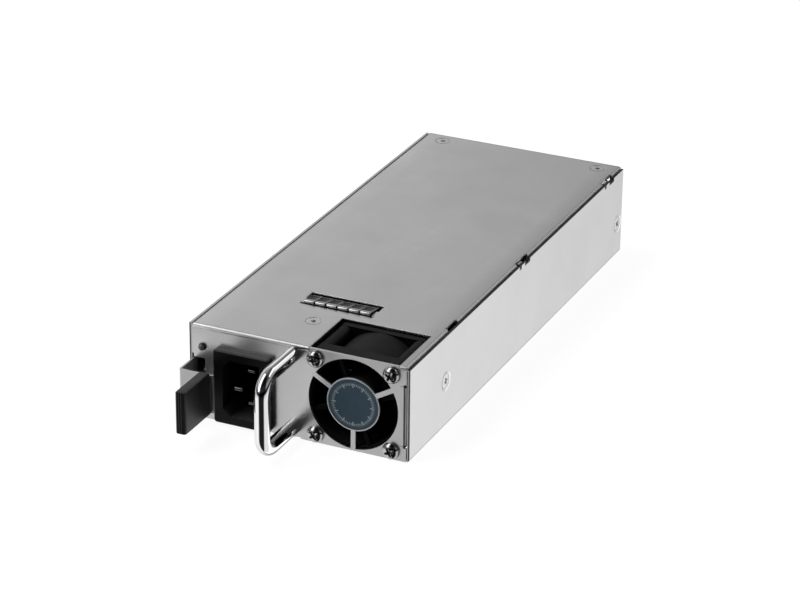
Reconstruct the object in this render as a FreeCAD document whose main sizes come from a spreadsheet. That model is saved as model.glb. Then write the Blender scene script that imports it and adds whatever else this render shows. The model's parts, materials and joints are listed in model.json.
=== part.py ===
import FreeCAD, Part
import math
import os
import Sketcher
from FreeCAD import Vector, Rotation, Placement

# Hot swap server power supply, millimetres.
# +X is to the right seen from the front, +Y runs from the front towards the
# card edge at the rear, +Z is up.  The origin is the centre of the bottom
# face of the case.

doc = FreeCAD.newDocument("server_power_supply")
sheet = doc.addObject("Spreadsheet::Sheet", "dims")
row = [0]


class Q:
    """A number that also knows the expression it comes from."""

    def __init__(self, v, t):
        self.v = float(v)
        self.t = t

    def _op(self, o, s, f):
        o = q(o)
        return Q(f(self.v, o.v), "(" + self.t + " " + s + " " + o.t + ")")

    def __add__(self, o): return self._op(o, "+", lambda a, b: a + b)
    def __sub__(self, o): return self._op(o, "-", lambda a, b: a - b)
    def __mul__(self, o): return self._op(o, "*", lambda a, b: a * b)
    def __truediv__(self, o): return self._op(o, "/", lambda a, b: a / b)
    def __radd__(self, o): return q(o) + self
    def __rsub__(self, o): return q(o) - self
    def __rmul__(self, o): return q(o) * self
    def __neg__(self): return Q(-self.v, "(0 - " + self.t + ")")


def q(a):
    return a if isinstance(a, Q) else Q(a, repr(float(a)))


def D(alias, value):
    """One driving dimension: a row of the sheet with its alias."""
    row[0] += 1
    r = row[0]
    sheet.set("A%d" % r, alias.replace("_", " "))
    sheet.set("B%d" % r, repr(float(value)))
    sheet.setAlias("B%d" % r, alias)
    return Q(value, "dims." + alias)


# ---------------------------------------------------------------- helpers

def place(o, x, y, z, rot=None):
    x, y, z = q(x), q(y), q(z)
    o.Placement = Placement(Vector(x.v, y.v, z.v), rot or Rotation())
    for k, a in (("x", x), ("y", y), ("z", z)):
        o.setExpression("Placement.Base." + k, a.t)
    return o


def setq(o, prop, a):
    o.setExpression(prop, q(a).t)


AX = {"Z": Rotation(), "-Z": Rotation(Vector(1, 0, 0), 180),
      "X": Rotation(Vector(0, 1, 0), 90), "-X": Rotation(Vector(0, 1, 0), -90),
      "Y": Rotation(Vector(1, 0, 0), -90), "-Y": Rotation(Vector(1, 0, 0), 90)}


def box(n, x0, x1, y0, y1, z0, z1):
    o = doc.addObject("Part::Box", n)
    setq(o, "Length", q(x1) - x0)
    setq(o, "Width", q(y1) - y0)
    setq(o, "Height", q(z1) - z0)
    return place(o, x0, y0, z0)


def cyl(n, r, length, x, y, z, axis="Z", angle=None, rot=None):
    o = doc.addObject("Part::Cylinder", n)
    setq(o, "Radius", r)
    setq(o, "Height", length)
    if angle:
        o.Angle = angle
    return place(o, x, y, z, rot or AX[axis])


def cone(n, r1, r2, length, x, y, z, axis="Z"):
    o = doc.addObject("Part::Cone", n)
    setq(o, "Radius1", r1)
    setq(o, "Radius2", r2)
    setq(o, "Height", length)
    return place(o, x, y, z, AX[axis])


def fuse(n, parts, refine=True):
    if len(parts) == 1:
        return parts[0]
    o = doc.addObject("Part::MultiFuse", n)
    o.Shapes = parts
    o.Refine = refine
    return o


def cut(n, base, tools):
    o = doc.addObject("Part::Cut", n)
    o.Base = base
    o.Tool = tools[0] if len(tools) == 1 else fuse(n + "_tools", tools)
    o.Refine = True
    return o


def common(n, a, b):
    o = doc.addObject("Part::MultiCommon", n)
    o.Shapes = [a, b]
    o.Refine = True
    return o


def group(n, parts):
    o = doc.addObject("Part::Compound", n)
    o.Links = parts
    return o


def names(shape, pred):
    out = []
    for i, e in enumerate(shape.Edges):
        if pred(e):
            out.append("Edge%d" % (i + 1))
    return out


def near(a, b, tol=0.02):
    return abs(a - b) < tol


def along(axis, **at):
    """Straight edges parallel to an axis, at the given coordinates."""
    def pred(e):
        if e.Curve.TypeId != "Part::GeomLine":
            return False
        bb = e.BoundBox
        size = {"x": bb.XLength, "y": bb.YLength, "z": bb.ZLength}
        low = {"x": bb.XMin, "y": bb.YMin, "z": bb.ZMin}
        high = {"x": bb.XMax, "y": bb.YMax, "z": bb.ZMax}
        for k in "xyz":
            if k != axis.lower() and size[k] > 0.02:
                return False
        for k, v in at.items():
            if isinstance(v, tuple):
                if low[k] < v[0] - 0.02 or high[k] > v[1] + 0.02:
                    return False
            elif isinstance(v, list):
                if not any(near(low[k], w) for w in v):
                    return False
            elif not near(low[k], v):
                return False
        return True
    return pred


def pfillet(n, base, r, pred):
    doc.recompute()
    e = names(base.Shape, pred)
    if not e:
        raise RuntimeError("no edges to round on " + n)
    o = doc.addObject("Part::Fillet", n)
    o.Base = base
    o.Edges = [(int(k[4:]), r, r) for k in e]
    return o


PLANE = {"XY": ("XY_Plane", 1), "XZ": ("XZ_Plane", -1), "YZ": ("YZ_Plane", 1)}


class Body:
    """A PartDesign body built from fully bound sketches.

    XY sketches extrude along Z, XZ along Y and YZ along X."""

    def __init__(self, name):
        self.b = doc.addObject("PartDesign::Body", name)
        self.org = {f.Role: f for f in self.b.Origin.OriginFeatures}
        self.k = 0
        self.name = name

    def _n(self, what):
        self.k += 1
        return "%s_%s%d" % (self.name, what, self.k)

    def sketch(self, plane, at, loops):
        role, sign = PLANE[plane]
        s = self.b.newObject("Sketcher::SketchObject", self._n("sketch"))
        s.AttachmentSupport = [(self.org[role], "")]
        s.MapMode = "FlatFace"
        at = q(at) if sign > 0 else -q(at)
        s.AttachmentOffset = Placement(Vector(0, 0, at.v), Rotation())
        s.setExpression("AttachmentOffset.Base.z", at.t)
        bound = []

        def fix(g, pos, u, v):
            for kind, a in (("DistanceX", u), ("DistanceY", v)):
                c = s.addConstraint(Sketcher.Constraint(kind, -1, 1, g, pos, a.v))
                bound.append((c, a.t))

        for loop in loops:
            if loop[0] == "c":
                _, u, v, r = loop
                u, v, r = q(u), q(v), q(r)
                g = s.addGeometry(Part.Circle(Vector(u.v, v.v, 0), Vector(0, 0, 1), r.v))
                fix(g, 3, u, v)
                bound.append((s.addConstraint(Sketcher.Constraint("Radius", g, r.v)), r.t))
                continue
            pts = [(q(p[0]), q(p[1]), p[2] if len(p) > 2 else None) for p in loop]
            m = len(pts)
            ends = []
            for i in range(m):
                u, v, r = pts[i]
                if r is None:
                    ends.append(((u, v), (u, v), None))
                    continue
                r = q(r)
                pu, pv, _ = pts[i - 1]
                nu, nv, _ = pts[(i + 1) % m]

                def unit(a, b):
                    d = (a[0].v - b[0].v, a[1].v - b[1].v)
                    if abs(d[0]) > abs(d[1]):
                        return (1 if d[0] > 0 else -1, 0)
                    return (0, 1 if d[1] > 0 else -1)
                dp = unit((pu, pv), (u, v))
                dn = unit((nu, nv), (u, v))
                a = (u + r * dp[0] if dp[0] else u, v + r * dp[1] if dp[1] else v)
                b = (u + r * dn[0] if dn[0] else u, v + r * dn[1] if dn[1] else v)
                cc = (u.v + r.v * (dp[0] + dn[0]), v.v + r.v * (dp[1] + dn[1]))
                ends.append((a, b, (r, cc)))
            lines = []
            for i in range(m):
                a = ends[i][1]
                b = ends[(i + 1) % m][0]
                lines.append(s.addGeometry(Part.LineSegment(
                    Vector(a[0].v, a[1].v, 0), Vector(b[0].v, b[1].v, 0))))
            for i in range(m):
                a, b, arc = ends[i]
                prev, nxt = lines[i - 1], lines[i]
                if arc is None:
                    s.addConstraint(Sketcher.Constraint("Coincident", prev, 2, nxt, 1))
                    fix(nxt, 1, a[0], a[1])
                    continue
                r, cc = arc
                t0 = math.atan2(a[1].v - cc[1], a[0].v - cc[0])
                t1 = math.atan2(b[1].v - cc[1], b[0].v - cc[0])
                ccw = (t1 - t0) % (2 * math.pi) < math.pi
                lo, hi = (t0, t1) if ccw else (t1, t0)
                if hi < lo:
                    hi += 2 * math.pi
                g = s.addGeometry(Part.ArcOfCircle(
                    Part.Circle(Vector(cc[0], cc[1], 0), Vector(0, 0, 1), r.v), lo, hi))
                s.addConstraint(Sketcher.Constraint("Coincident", prev, 2, g, 1 if ccw else 2))
                s.addConstraint(Sketcher.Constraint("Coincident", nxt, 1, g, 2 if ccw else 1))
                fix(prev, 2, a[0], a[1])
                fix(nxt, 1, b[0], b[1])
                bound.append((s.addConstraint(Sketcher.Constraint("Radius", g, r.v)), r.t))
        for c, t in bound:
            s.setExpression("Constraints[%d]" % c, t)
        return s

    def pad(self, plane, d0, d1, *loops):
        d0, d1 = q(d0), q(d1)
        s = self.sketch(plane, d1 if PLANE[plane][1] < 0 else d0, loops)
        f = self.b.newObject("PartDesign::Pad", self._n("pad"))
        f.Profile = s
        setq(f, "Length", d1 - d0)
        return f

    def pocket(self, plane, d0, d1, *loops):
        doc.recompute()
        before = self.b.Shape.Volume
        d0, d1 = q(d0), q(d1)
        s = self.sketch(plane, d0 if PLANE[plane][1] < 0 else d1, loops)
        f = self.b.newObject("PartDesign::Pocket", self._n("pocket"))
        f.Profile = s
        setq(f, "Length", d1 - d0)
        doc.recompute()
        if not self.b.Shape.Volume < before - 1e-6:
            raise RuntimeError("a pocket of %s cuts nothing" % self.name)
        return f

    def revolve(self, plane, at, loop, u, v, direction, kind="Revolution"):
        """Full turn of a loop about the line through (u, v) in the sketch."""
        doc.recompute()
        s = self.sketch(plane, at, [loop])
        u, v = q(u), q(v)
        du, dv = direction
        g = s.addGeometry(Part.LineSegment(Vector(u.v, v.v, 0), Vector(u.v + du, v.v + dv, 0)), True)
        for pos, a, b in ((1, u, v), (2, u + du, v + dv)):
            for kind_, c in (("DistanceX", a), ("DistanceY", b)):
                i = s.addConstraint(Sketcher.Constraint(kind_, -1, 1, g, pos, c.v))
                s.setExpression("Constraints[%d]" % i, c.t)
        f = self.b.newObject("PartDesign::" + kind, self._n("turn"))
        f.Profile = s
        f.ReferenceAxis = (s, ["Axis0"])
        f.Angle = 360
        return f

    def fillet(self, r, pred, kind="Fillet"):
        doc.recompute()
        tip = self.b.Tip
        e = names(tip.Shape, pred)
        if not e:
            raise RuntimeError("no edges to round on " + self.name)
        f = self.b.newObject("PartDesign::" + kind, self._n("round"))
        f.Base = (tip, e)
        setq(f, "Radius" if kind == "Fillet" else "Size", r)
        doc.recompute()
        if "Invalid" in f.State:
            raise RuntimeError("a rounding of %s failed" % self.name)
        return f

    def chamfer(self, r, pred):
        return self.fillet(r, pred, "Chamfer")

    def pattern(self, feats, axis, length, count):
        doc.recompute()
        before = self.b.Shape.Volume
        f = self.b.newObject("PartDesign::LinearPattern", self._n("row"))
        f.Originals = feats
        f.Direction = (self.org[axis + "_Axis"], [""])
        setq(f, "Length", length)
        f.Occurrences = count
        self.b.Tip = f
        doc.recompute()
        if abs(self.b.Shape.Volume - before) < 1e-6:
            raise RuntimeError("a pattern of %s repeats nothing" % self.name)
        return f


def rect(u0, u1, v0, v1, r=None):
    if r is None:
        return [(u0, v0), (u1, v0), (u1, v1), (u0, v1)]
    return [(u0, v0, r), (u1, v0, r), (u1, v1, r), (u0, v1, r)]


nodes = []


def node(name, obj):
    """Register a finished sub-part under the name of its file."""
    if isinstance(obj, Body):
        obj = obj.b
    obj.Label = name
    nodes.append((name, obj))
    return obj


# ---------------------------------------------------------- driving sizes

case_w = D("case_width", 94.0)
case_l = D("case_length", 222.0)
case_z = D("case_height", 40.0)
sheet_t = D("sheet_thickness", 1.0)
wall_top = D("wall_top", 39.1)
left_top = D("left_wall_top", 39.9)
fx = D("fan_centre_x", 23.3)
fz = D("fan_centre_z", 19.7)
fan_s = D("fan_side", 38.0)
fan_d = D("fan_depth", 28.0)
fan_p = D("fan_hole_pitch", 32.0)
guard_r = D("guard_opening_radius", 18.9)
disc_r = D("guard_disc_radius", 11.1)
ix = D("inlet_centre_x", -23.1)
iz = D("inlet_centre_z", 16.65)
inlet_w = D("inlet_flange_width", 24.2)
inlet_hh = D("inlet_flange_height", 31.3)
inlet_out = D("inlet_flange_projection", 3.4)
hx = D("handle_x", -2.0)
h_top = D("handle_upper_leg_z", 35.8)
h_low = D("handle_lower_leg_z", 5.0)
h_out = D("handle_reach", 26.4)
h_r = D("handle_bar_radius", 3.0)
h_bend = D("handle_bend_radius", 7.5)
board_z = D("board_underside_z", 5.0)
board_t = D("board_thickness", 1.6)
tongue = D("card_edge_projection", 11.5)

csk_r = D("countersunk_head_radius", 3.0)
csk_shank = D("countersunk_shank_radius", 1.5)
dimple_r = D("dimple_radius", 4.2)
dimple_d = D("dimple_depth", 0.15)
cover_dimple = D("cover_dimple_depth", 0.06)
so_r = D("standoff_radius", 2.5)
lip = D("cover_side_lip", 9.0)
flip = D("cover_front_lip", 1.7)
strip_x0 = D("contact_strip_left", -15.4)
strip_x1 = D("contact_strip_right", 13.8)
rz0 = D("relief_lower_z", 6.3)
rz1 = D("relief_upper_z", 31.8)
body_w = D("inlet_body_width", 19.8)
body_h = D("inlet_body_height", 27.4)
led_x = D("led_x", -41.4)
led_z = D("led_z", 30.7)
led_r = D("led_radius", 1.5)
spoke = D("guard_spoke_width", 2.0)
vr = D("vent_radius", 1.7)
vp = D("vent_pitch", 4.9)
lt = D("latch_strip_thickness", 0.8)
cav_d = D("inlet_cavity_depth", 17.0)
gap = D("finger_gap", 0.55)
bore = D("fan_bore_radius", 18.05)
barrel = D("fan_barrel_radius", 18.9)
flange_front = D("fan_front_flange_thickness", 7.5)
flange_rear = D("fan_rear_flange_thickness", 2.9)
base_r = D("fan_base_radius", 10.2)
shaft_r = D("fan_shaft_radius", 1.0)
hub_r = D("fan_hub_radius", 9.9)
tip_r = D("fan_blade_tip_radius", 17.55)
cap_r = D("bulk_capacitor_radius", 12.8)
wr = D("fan_wire_radius", 0.45)
ar = D("line_wire_radius", 1.1)
recess_w = D("screw_recess_width_ratio", 0.36)
cover_screw_l = D("cover_screw_length", 4.5)
side_screw_l = D("side_screw_length", 4.0)
cw_ = D("contact_width", 1.4)
cp_ = D("contact_pitch", 2.0)
PR = D("panel_right_edge", 45.6)
blade_tt = D("fan_blade_thickness", 1.1)
blade_ch = D("fan_blade_chord", 18.0)
doc.recompute()

FY = -(case_l / 2)          # front face of the case
RY = case_l / 2             # rear face of the case
HW = case_w / 2
IW = HW - sheet_t           # inner face of a side wall
BZ = board_z + board_t      # upper face of the main board


def yy(a):
    """Distance behind the front face."""
    return FY + a


# positions of the countersunk screws
cover_screws_xy = [(q(-4.15), yy(21.9)), (q(-36.2), yy(215.9)), (q(37.4), yy(215.9))]
side_screws_yz = [(yy(33.7), q(19.8)), (yy(217.4), q(15.0))]

# ------------------------------------------------------------ chassis tray

tray = Body("tray_body")
tray.pad("XZ", FY, RY,
         [(-HW, 0), (HW, 0), (HW, wall_top), (IW, wall_top), (IW, sheet_t),
          (-IW, sheet_t), (-IW, left_top), (-HW, left_top)])
tray.fillet(1.5, along("Y", z=0.0, x=[-47.0, 47.0]))
tray.fillet(0.5, along("Y", z=1.0, x=[-46.0, 46.0]))
# the front panel stands on the bottom's front edge, between the walls
tray.pocket("XY", -1, 1.6, rect(-IW, IW, FY - 1, yy(1.05)))
# clearance for the fan, as in the cover
tray.pocket("XY", -1, 1.6, rect(fx - 19.3, fx + 19.3, yy(0), yy(29.5)))
# window for the latch tooth, left wall
tray.pocket("YZ", -HW - 1, -IW + 1, rect(yy(10.2), yy(19.8), 7.2, 16.4, 0.8))
# hole for the rivet at the latch arm's root
tray.pocket("YZ", -HW - 1, -IW + 1, ("c", yy(66.0), 12.1, 1.7))
# relief slots on both sides of each lug, top of the right wall
lug_at = [109.6, 203.8]
for a in lug_at:
    tray.pocket("XY", wall_top - 1.7, wall_top + 1,
                rect(IW - 1, HW + 1, yy(a - 3.6), yy(a - 1.7)),
                rect(IW - 1, HW + 1, yy(a + 1.7), yy(a + 7.2)))
doc.recompute()
tools = []
for s in (-1, 1):
    for i, (y, z) in enumerate(side_screws_yz):
        t = "tray_csk_%s%d" % ("l" if s < 0 else "r", i)
        ax = "X" if s < 0 else "-X"
        tools.append(cone(t + "a", dimple_r, csk_r + 0.15, dimple_d, s * HW, y, z, ax))
        tools.append(cone(t + "b", csk_r + 0.1, csk_shank + 0.35, 1.5, s * (HW - dimple_d), y, z, ax))
        tools.append(cyl(t + "c", csk_shank + 0.25, 3, s * (HW + 0.5), y, z, ax))
# screw holes in the bottom for the main board's standoffs
board_screw_xy = [(q(-41.0), yy(35.2)), (q(41.0), yy(35.2)), (q(-41.6), yy(104.0)),
                  (q(41.6), yy(168.6)), (q(-41.0), yy(214.6)), (q(41.0), yy(214.6))]
lugs = []
for i, a in enumerate(lug_at):
    lugs.append(box("tray_lug%d" % i, q(44.8), IW + 0.3, yy(a - 1.6), yy(a + 1.6), 38.1, wall_top))
node("chassis_tray", fuse("chassis_tray", [cut("tray_holed", tray.b, tools)] + lugs))

# --------------------------------------------------------------- top cover

cov = Body("cover_body")
CW = IW - 0.1
cov.pad("XZ", FY, RY - 0.1,
        [(-CW, case_z - lip), (-CW + sheet_t, case_z - lip), (-CW + sheet_t, case_z - sheet_t),
         (CW - sheet_t, case_z - sheet_t), (CW - sheet_t, case_z - lip), (CW, case_z - lip),
         (CW, case_z), (-CW, case_z)])
# the side lips stop short of the front panel, its sides and the rear panel
cov.pocket("YZ", -CW - 1, CW + 1, rect(yy(-1), yy(9.2), case_z - lip - 1, case_z - sheet_t))
cov.pocket("YZ", -CW - 1, CW + 1, rect(RY - 1.3, RY + 1, case_z - lip - 1, case_z - sheet_t))
# short lip turned down over the top edge of the front panel
cov.pad("XY", case_z - flip, case_z - sheet_t, rect(-CW, CW, FY, yy(1.0)))
side_edge, front_edge = along("Y", z=40.0, x=[-45.9, 45.9]), along("X", z=40.0, y=-111.0)
cov.fillet(0.9, lambda e: side_edge(e) or front_edge(e))
# fan cut-out, open to the front
cov.pocket("XY", case_z - 3, case_z + 1, rect(fx - 18.65, fx + 19.1, FY - 1, yy(29.5)))
# two slots that hold the contact strip
for a, b in ((34.5, 36.0), (40.3, 46.0)):
    cov.pocket("XY", case_z - 2, case_z + 1,
               rect(strip_x0 - 1.1, strip_x1 + 1.0, yy(a), yy(b)))
# notches in the right bend
for a, b in ((37.6, 46.6), (105.8, 117.0), (200.0, 211.2)):
    cov.pocket("XY", 37.7, case_z + 1, rect(44.5, CW + 1, yy(a), yy(b)))
# tabs inside the walls for the front side screws
for x0, x1 in ((-CW, -CW + sheet_t), (CW - sheet_t, CW)):
    cov.pad("XY", 16.4, case_z - lip + 0.5, rect(x0, x1, yy(27.6), yy(37.2)))
doc.recompute()
tools = []
for i, (x, y) in enumerate(cover_screws_xy):
    t = "cover_csk%d" % i
    tools.append(cone(t + "a", dimple_r - 0.6, csk_r + 0.07, cover_dimple, x, y, case_z, "-Z"))
    tools.append(cone(t + "b", csk_r + 0.07, csk_shank + 0.35, 1.5, x, y, case_z - cover_dimple, "-Z"))
    tools.append(cyl(t + "c", csk_shank + 0.25, 4, x, y, case_z + 1, "-Z"))
for s in (-1, 1):
    y, z = side_screws_yz[0]
    t, ax = "cover_side_%s" % ("l" if s < 0 else "r"), "X" if s < 0 else "-X"
    tools.append(cyl(t + "a", csk_shank + 0.05, 4, s * (CW + 1), y, z, ax))
    tools.append(cone(t + "b", csk_r - 0.55, csk_shank + 0.05, 0.95, s * (CW + 0.05), y, z, ax))
node("top_cover", cut("top_cover", cov.b, tools))

# ------------------------------------------------------------- front panel

pan = Body("panel_body")
pz = case_z - flip - 0.05
pan.pad("XZ", yy(0), yy(1.0),
        [(-IW + 0.05, 0), (PR, 0), (PR, pz), (fx + 19.0, pz), (fx + 19.0, case_z - 0.15),
         (fx - 18.55, case_z - 0.15), (fx - 18.55, pz), (-IW + 0.05, pz)])
# side flange between the two relief holes, bent rearward
pan.pocket("XZ", yy(-1), yy(2), rect(PR - 2.4, PR + 1, rz0, rz1))
pan.pad("XY", rz0 + 0.16, rz1 - 0.16,
        [(PR - 2.4, yy(0)), (PR, yy(0), 1.35), (PR, yy(8.6)), (PR - 1, yy(8.6)),
         (PR - 1, yy(1.0), 0.35), (PR - 2.4, yy(1.0))])
pan.pocket("XZ", yy(-1), yy(3), ("c", 44.98, rz0 - 0.1, 0.7), ("c", 44.98, rz1 + 0.1, 0.7))
# top flange under the cover, left of the fan, carrying the cover's front screw
pan.pad("YZ", -44.5, 3.2,
        [(yy(1.0), pz - 1.2), (yy(25.8), pz - 1.2 + 0.0), (yy(25.8), pz - 0.2), (yy(1.0), pz - 0.2)])
pan.pocket("XY", 30, case_z, rect(-45, -12, yy(6.0), yy(27)))
# notch for the latch arm, with a small corner relief
pan.pocket("XZ", yy(-1), yy(2), rect(-IW - 1, -40.3, 7.6, 25.8))
pan.pocket("XZ", yy(-1), yy(2), rect(-IW - 1, -45.2, 25.5, 27.2))
# narrow relief beside the fan zone, bottom edge
pan.pocket("XZ", yy(-1), yy(2), rect(-1.9, 0.9, -1, 1.0))
# inlet cut-out, LED hole, handle screw holes, fan screw holes
pan.pocket("XZ", yy(-1), yy(2), rect(ix - body_w / 2 - 0.1, ix + body_w / 2 + 0.1,
                                     iz - body_h / 2 - 0.1, iz + body_h / 2 + 0.1, 1.0))
fh = fan_p / 2
pan.pocket("XZ", yy(-1), yy(2), ("c", led_x, led_z, led_r + 0.08),
           ("c", hx, h_top, 1.7), ("c", hx, h_low, 1.7))
pan.pocket("XZ", yy(-1), yy(2), ("c", fx - fh, fz - fh, 1.75), ("c", fx + fh, fz - fh, 1.75),
           ("c", fx - fh, fz + fh, 1.75), ("c", fx + fh, fz + fh, 1.75))
doc.recompute()
# guard: a ring opening crossed by three spokes to the centre disc
ring_out = cyl("guard_ring", guard_r, 3, fx, yy(-1), fz, "Y")
ring_in = cyl("guard_disc", disc_r, 5, fx, yy(-2), fz, "Y")
spokes = []
for k, a in enumerate((30, 150, 270)):
    s = doc.addObject("Part::Box", "guard_spoke%d" % k)
    setq(s, "Length", guard_r + 2)
    setq(s, "Width", 5)
    setq(s, "Height", spoke)
    r = Rotation(Vector(0, 1, 0), -a)
    off = r.multVec(Vector(0, 0, -1))
    place(s, fx + off.x * (spoke / 2), yy(-2), fz + off.z * (spoke / 2), r)
    spokes.append(s)
panel_cut = cut("panel_guarded", pan.b, [cut("guard_tool", ring_out, [ring_in] + spokes)])
dx, dy = cover_screws_xy[0]
node("front_panel", cut("front_panel", panel_cut,
     [cyl("panel_screw_hole", csk_shank + 0.05, 4, dx, dy, case_z - 1.0, "-Z"),
      box("panel_head_room", hx - 3.2, hx + 3.2, yy(1.0), yy(3.4), h_top + 0.5, case_z - 1.6)]))

# -------------------------------------------------------------- rear panel

rear = Body("rear_body")
rear.pad("XZ", RY - 1.1, RY - 0.1, rect(-IW + 0.1, IW - 0.1, sheet_t + 0.35, case_z - sheet_t - 0.1))
# flanges forward: one under the cover, one on each side wall
rear.pad("XY", case_z - sheet_t - 1.1, case_z - sheet_t - 0.1,
         rect(-44.2, 44.2, RY - 11.0, RY - 1.1))
rear.pad("YZ", IW - 1.1, IW - 0.1, rect(RY - 9.0, RY - 1.1, 9.0, 30.6))
rear.pad("YZ", -IW + 0.1, -IW + 1.1, rect(RY - 9.0, RY - 1.1, 9.0, 30.6))
# opening for the card edge
rear.pocket("XZ", RY - 3, RY + 1, rect(-33.5, 21.5, 3.2, 9.4, 1.0))
# vents: staggered columns of round holes
col = rear.pocket("XZ", RY - 3, RY + 1,
                  ("c", -41.65, 13.6, vr), ("c", -41.65, 18.5, vr), ("c", -41.65, 23.4, vr),
                  ("c", -41.65, 28.3, vr), ("c", -41.65, 33.2, vr))
rear.pattern([col], "X", vp * 17, 18)
col = rear.pocket("XZ", RY - 3, RY + 1,
                  ("c", -39.2, 16.05, vr), ("c", -39.2, 20.95, vr), ("c", -39.2, 25.85, vr),
                  ("c", -39.2, 30.75, vr))
rear.pattern([col], "X", vp * 16, 17)
doc.recompute()
tools = []
for i in (1, 2):
    x, y = cover_screws_xy[i]
    tools.append(cyl("rear_top_hole%d" % i, csk_shank + 0.05, 4, x, y, case_z - 1.0, "-Z"))
    tools.append(cone("rear_top_csk%d" % i, csk_r - 0.55, csk_shank + 0.05, 0.95, x, y, case_z - 1.05, "-Z"))
y, z = side_screws_yz[1]
for s in (-1, 1):
    tools.append(cyl("rear_side_hole%s" % ("l" if s < 0 else "r"), csk_shank + 0.05, 4,
                     s * (IW + 0.5), y, z, "X" if s < 0 else "-X"))
    tools.append(cone("rear_side_csk%s" % ("l" if s < 0 else "r"), csk_r - 0.55, csk_shank + 0.05, 0.95,
                      s * (IW - 0.05), y, z, "X" if s < 0 else "-X"))
node("rear_panel", cut("rear_panel", rear.b, tools))

# ------------------------------------------------------------------ handle

leg = h_out - h_bend
bar = [cyl("bar_upper", h_r, leg, hx, yy(0) - leg, h_top, "Y"),
       cyl("bar_lower", h_r, leg, hx, yy(0) - leg, h_low, "Y"),
       cyl("bar_grip", h_r, h_top - h_low - 2 * h_bend, hx, yy(0) - h_out, h_low + h_bend, "Z")]
for nm, z, a0 in (("bar_bend_upper", h_top - h_bend, 90), ("bar_bend_lower", h_low + h_bend, 180)):
    t = doc.addObject("Part::Torus", nm)
    setq(t, "Radius1", h_bend)
    setq(t, "Radius2", h_r)
    t.Angle3 = 90
    # torus axis along X; the quarter turn starts at the given angle
    rot = Rotation(Vector(1, 0, 0), a0).multiply(Rotation(Vector(1, 1, 1), 120))
    place(t, hx, yy(0) - leg, z, rot)
    bar.append(t)
tools = [cyl("bar_tap_upper", 1.3, 10, hx, yy(0.5) - 10, h_top, "Y"),
         cyl("bar_tap_lower", 1.3, 10, hx, yy(0.5) - 10, h_low, "Y")]
node("handle", cut("handle", fuse("handle_bar", bar), tools))


def pan_screw(n, r_head, h_head, r_shank, length, x, y, z, axis):
    """Domed pan head with a cross recess; the head points along -axis."""
    b = Body(n + "_turned")
    b.revolve("XZ", 0, [(0, -length), (r_shank, -length), (r_shank, 0), (r_head, 0),
                        (r_head, h_head * 0.45), (r_head * 0.72, h_head * 0.86),
                        (r_head * 0.4, h_head), (0, h_head)], 0, 0, (0, 1))
    cr = recess_w * r_head
    b.pocket("XY", h_head * 0.3, h_head + 1, rect(-r_head * 0.58, r_head * 0.58, -cr / 2, cr / 2))
    b.pocket("XY", h_head * 0.3, h_head + 1, rect(-cr / 2, cr / 2, -r_head * 0.58, r_head * 0.58))
    b.b.Placement = Placement()
    return b.b


def copies(n, master, places):
    """Identical fasteners as separate solids in one node."""
    out = []
    for i, (x, y, z, rot) in enumerate(places):
        o = doc.addObject("Part::Compound", "%s_%d" % (n, i + 1))
        o.Links = [master]
        place(o, x, y, z, rot)
        out.append(o)
    return group(n, out)


FRONT = Rotation(Vector(1, 0, 0), 90)      # local +Z to -Y
BACK = Rotation(Vector(1, 0, 0), -90)      # local +Z to +Y
RIGHT = Rotation(Vector(0, 1, 0), 90)      # local +Z to +X
LEFT = Rotation(Vector(0, 1, 0), -90)      # local +Z to -X
UP = Rotation()
DOWN = Rotation(Vector(1, 0, 0), 180)

hs = pan_screw("handle_screw", q(2.6), q(1.7), q(1.25), q(8.0), 0, 0, 0, "Y")
node("handle_screws", copies("handle_screws", hs,
     [(hx, yy(1.0), h_top, BACK), (hx, yy(1.0), h_low, BACK)]))

fs = pan_screw("fan_screw", q(3.5), q(2.5), q(1.55), q(9.0), 0, 0, 0, "Y")
node("fan_screws", copies("fan_screws", fs,
     [(fx + sx * fh, yy(0), fz + sz * fh, FRONT) for sx in (-1, 1) for sz in (-1, 1)]))


def csk_screw(n, length):
    b = Body(n + "_turned")
    b.revolve("XZ", 0, [(0, -length), (csk_shank, -length), (csk_shank, -(csk_r - csk_shank)),
                        (csk_r, 0), (0, 0)], 0, 0, (0, 1))
    b.pocket("XY", -1.0, 1, rect(-1.6, 1.6, -0.45, 0.45))
    b.pocket("XY", -1.0, 1, rect(-0.45, 0.45, -1.6, 1.6))
    return b.b


cs = csk_screw("cover_screw", cover_screw_l)
node("cover_screws", copies("cover_screws", cs,
     [(x, y, case_z - cover_dimple, UP) for x, y in cover_screws_xy]))
ss = csk_screw("side_screw", side_screw_l)
node("side_screws", copies("side_screws", ss,
     [(s * (HW - dimple_d), y, z, RIGHT if s > 0 else LEFT)
      for s in (-1, 1) for y, z in side_screws_yz]))

# ------------------------------------------------------------------- latch

lx = -IW + 0.25              # outer face of the arm
la0, la1 = 69.0, -11.35       # rear end and front face, behind the front face
spring = Body("spring_body")
spring.pad("XY", 9.0, 15.6, rect(lx, lx + lt, yy(3.0), yy(la0)))
spring.pad("XY", 9.0, 25.2, rect(lx, lx + lt, yy(la1), yy(3.0)))
spring.pad("XY", 9.0, 25.2, rect(lx, -30.95, yy(la1), yy(la1) + lt))
# tongue that the grip is moulded over
spring.pad("XY", 12.0, 22.8, rect(-34.8, -34.0, yy(-27.9), yy(la1)))
spring.fillet(0.8, along("Z", x=-45.75, y=-122.35))
# tooth: square in front, ramped at the rear
spring.pad("XY", 9.2, 15.0, [(lx, yy(11.6)), (-48.6, yy(11.6)), (-48.6, yy(13.6)), (lx, yy(18.6))])
doc.recompute()
spring_cut = cut("latch_spring", spring.b,
                 [cyl("spring_hole_a", 1.6, 4, lx - 1, yy(66.0), 12.1, "X")])
node("latch_spring", spring_cut)

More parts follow.
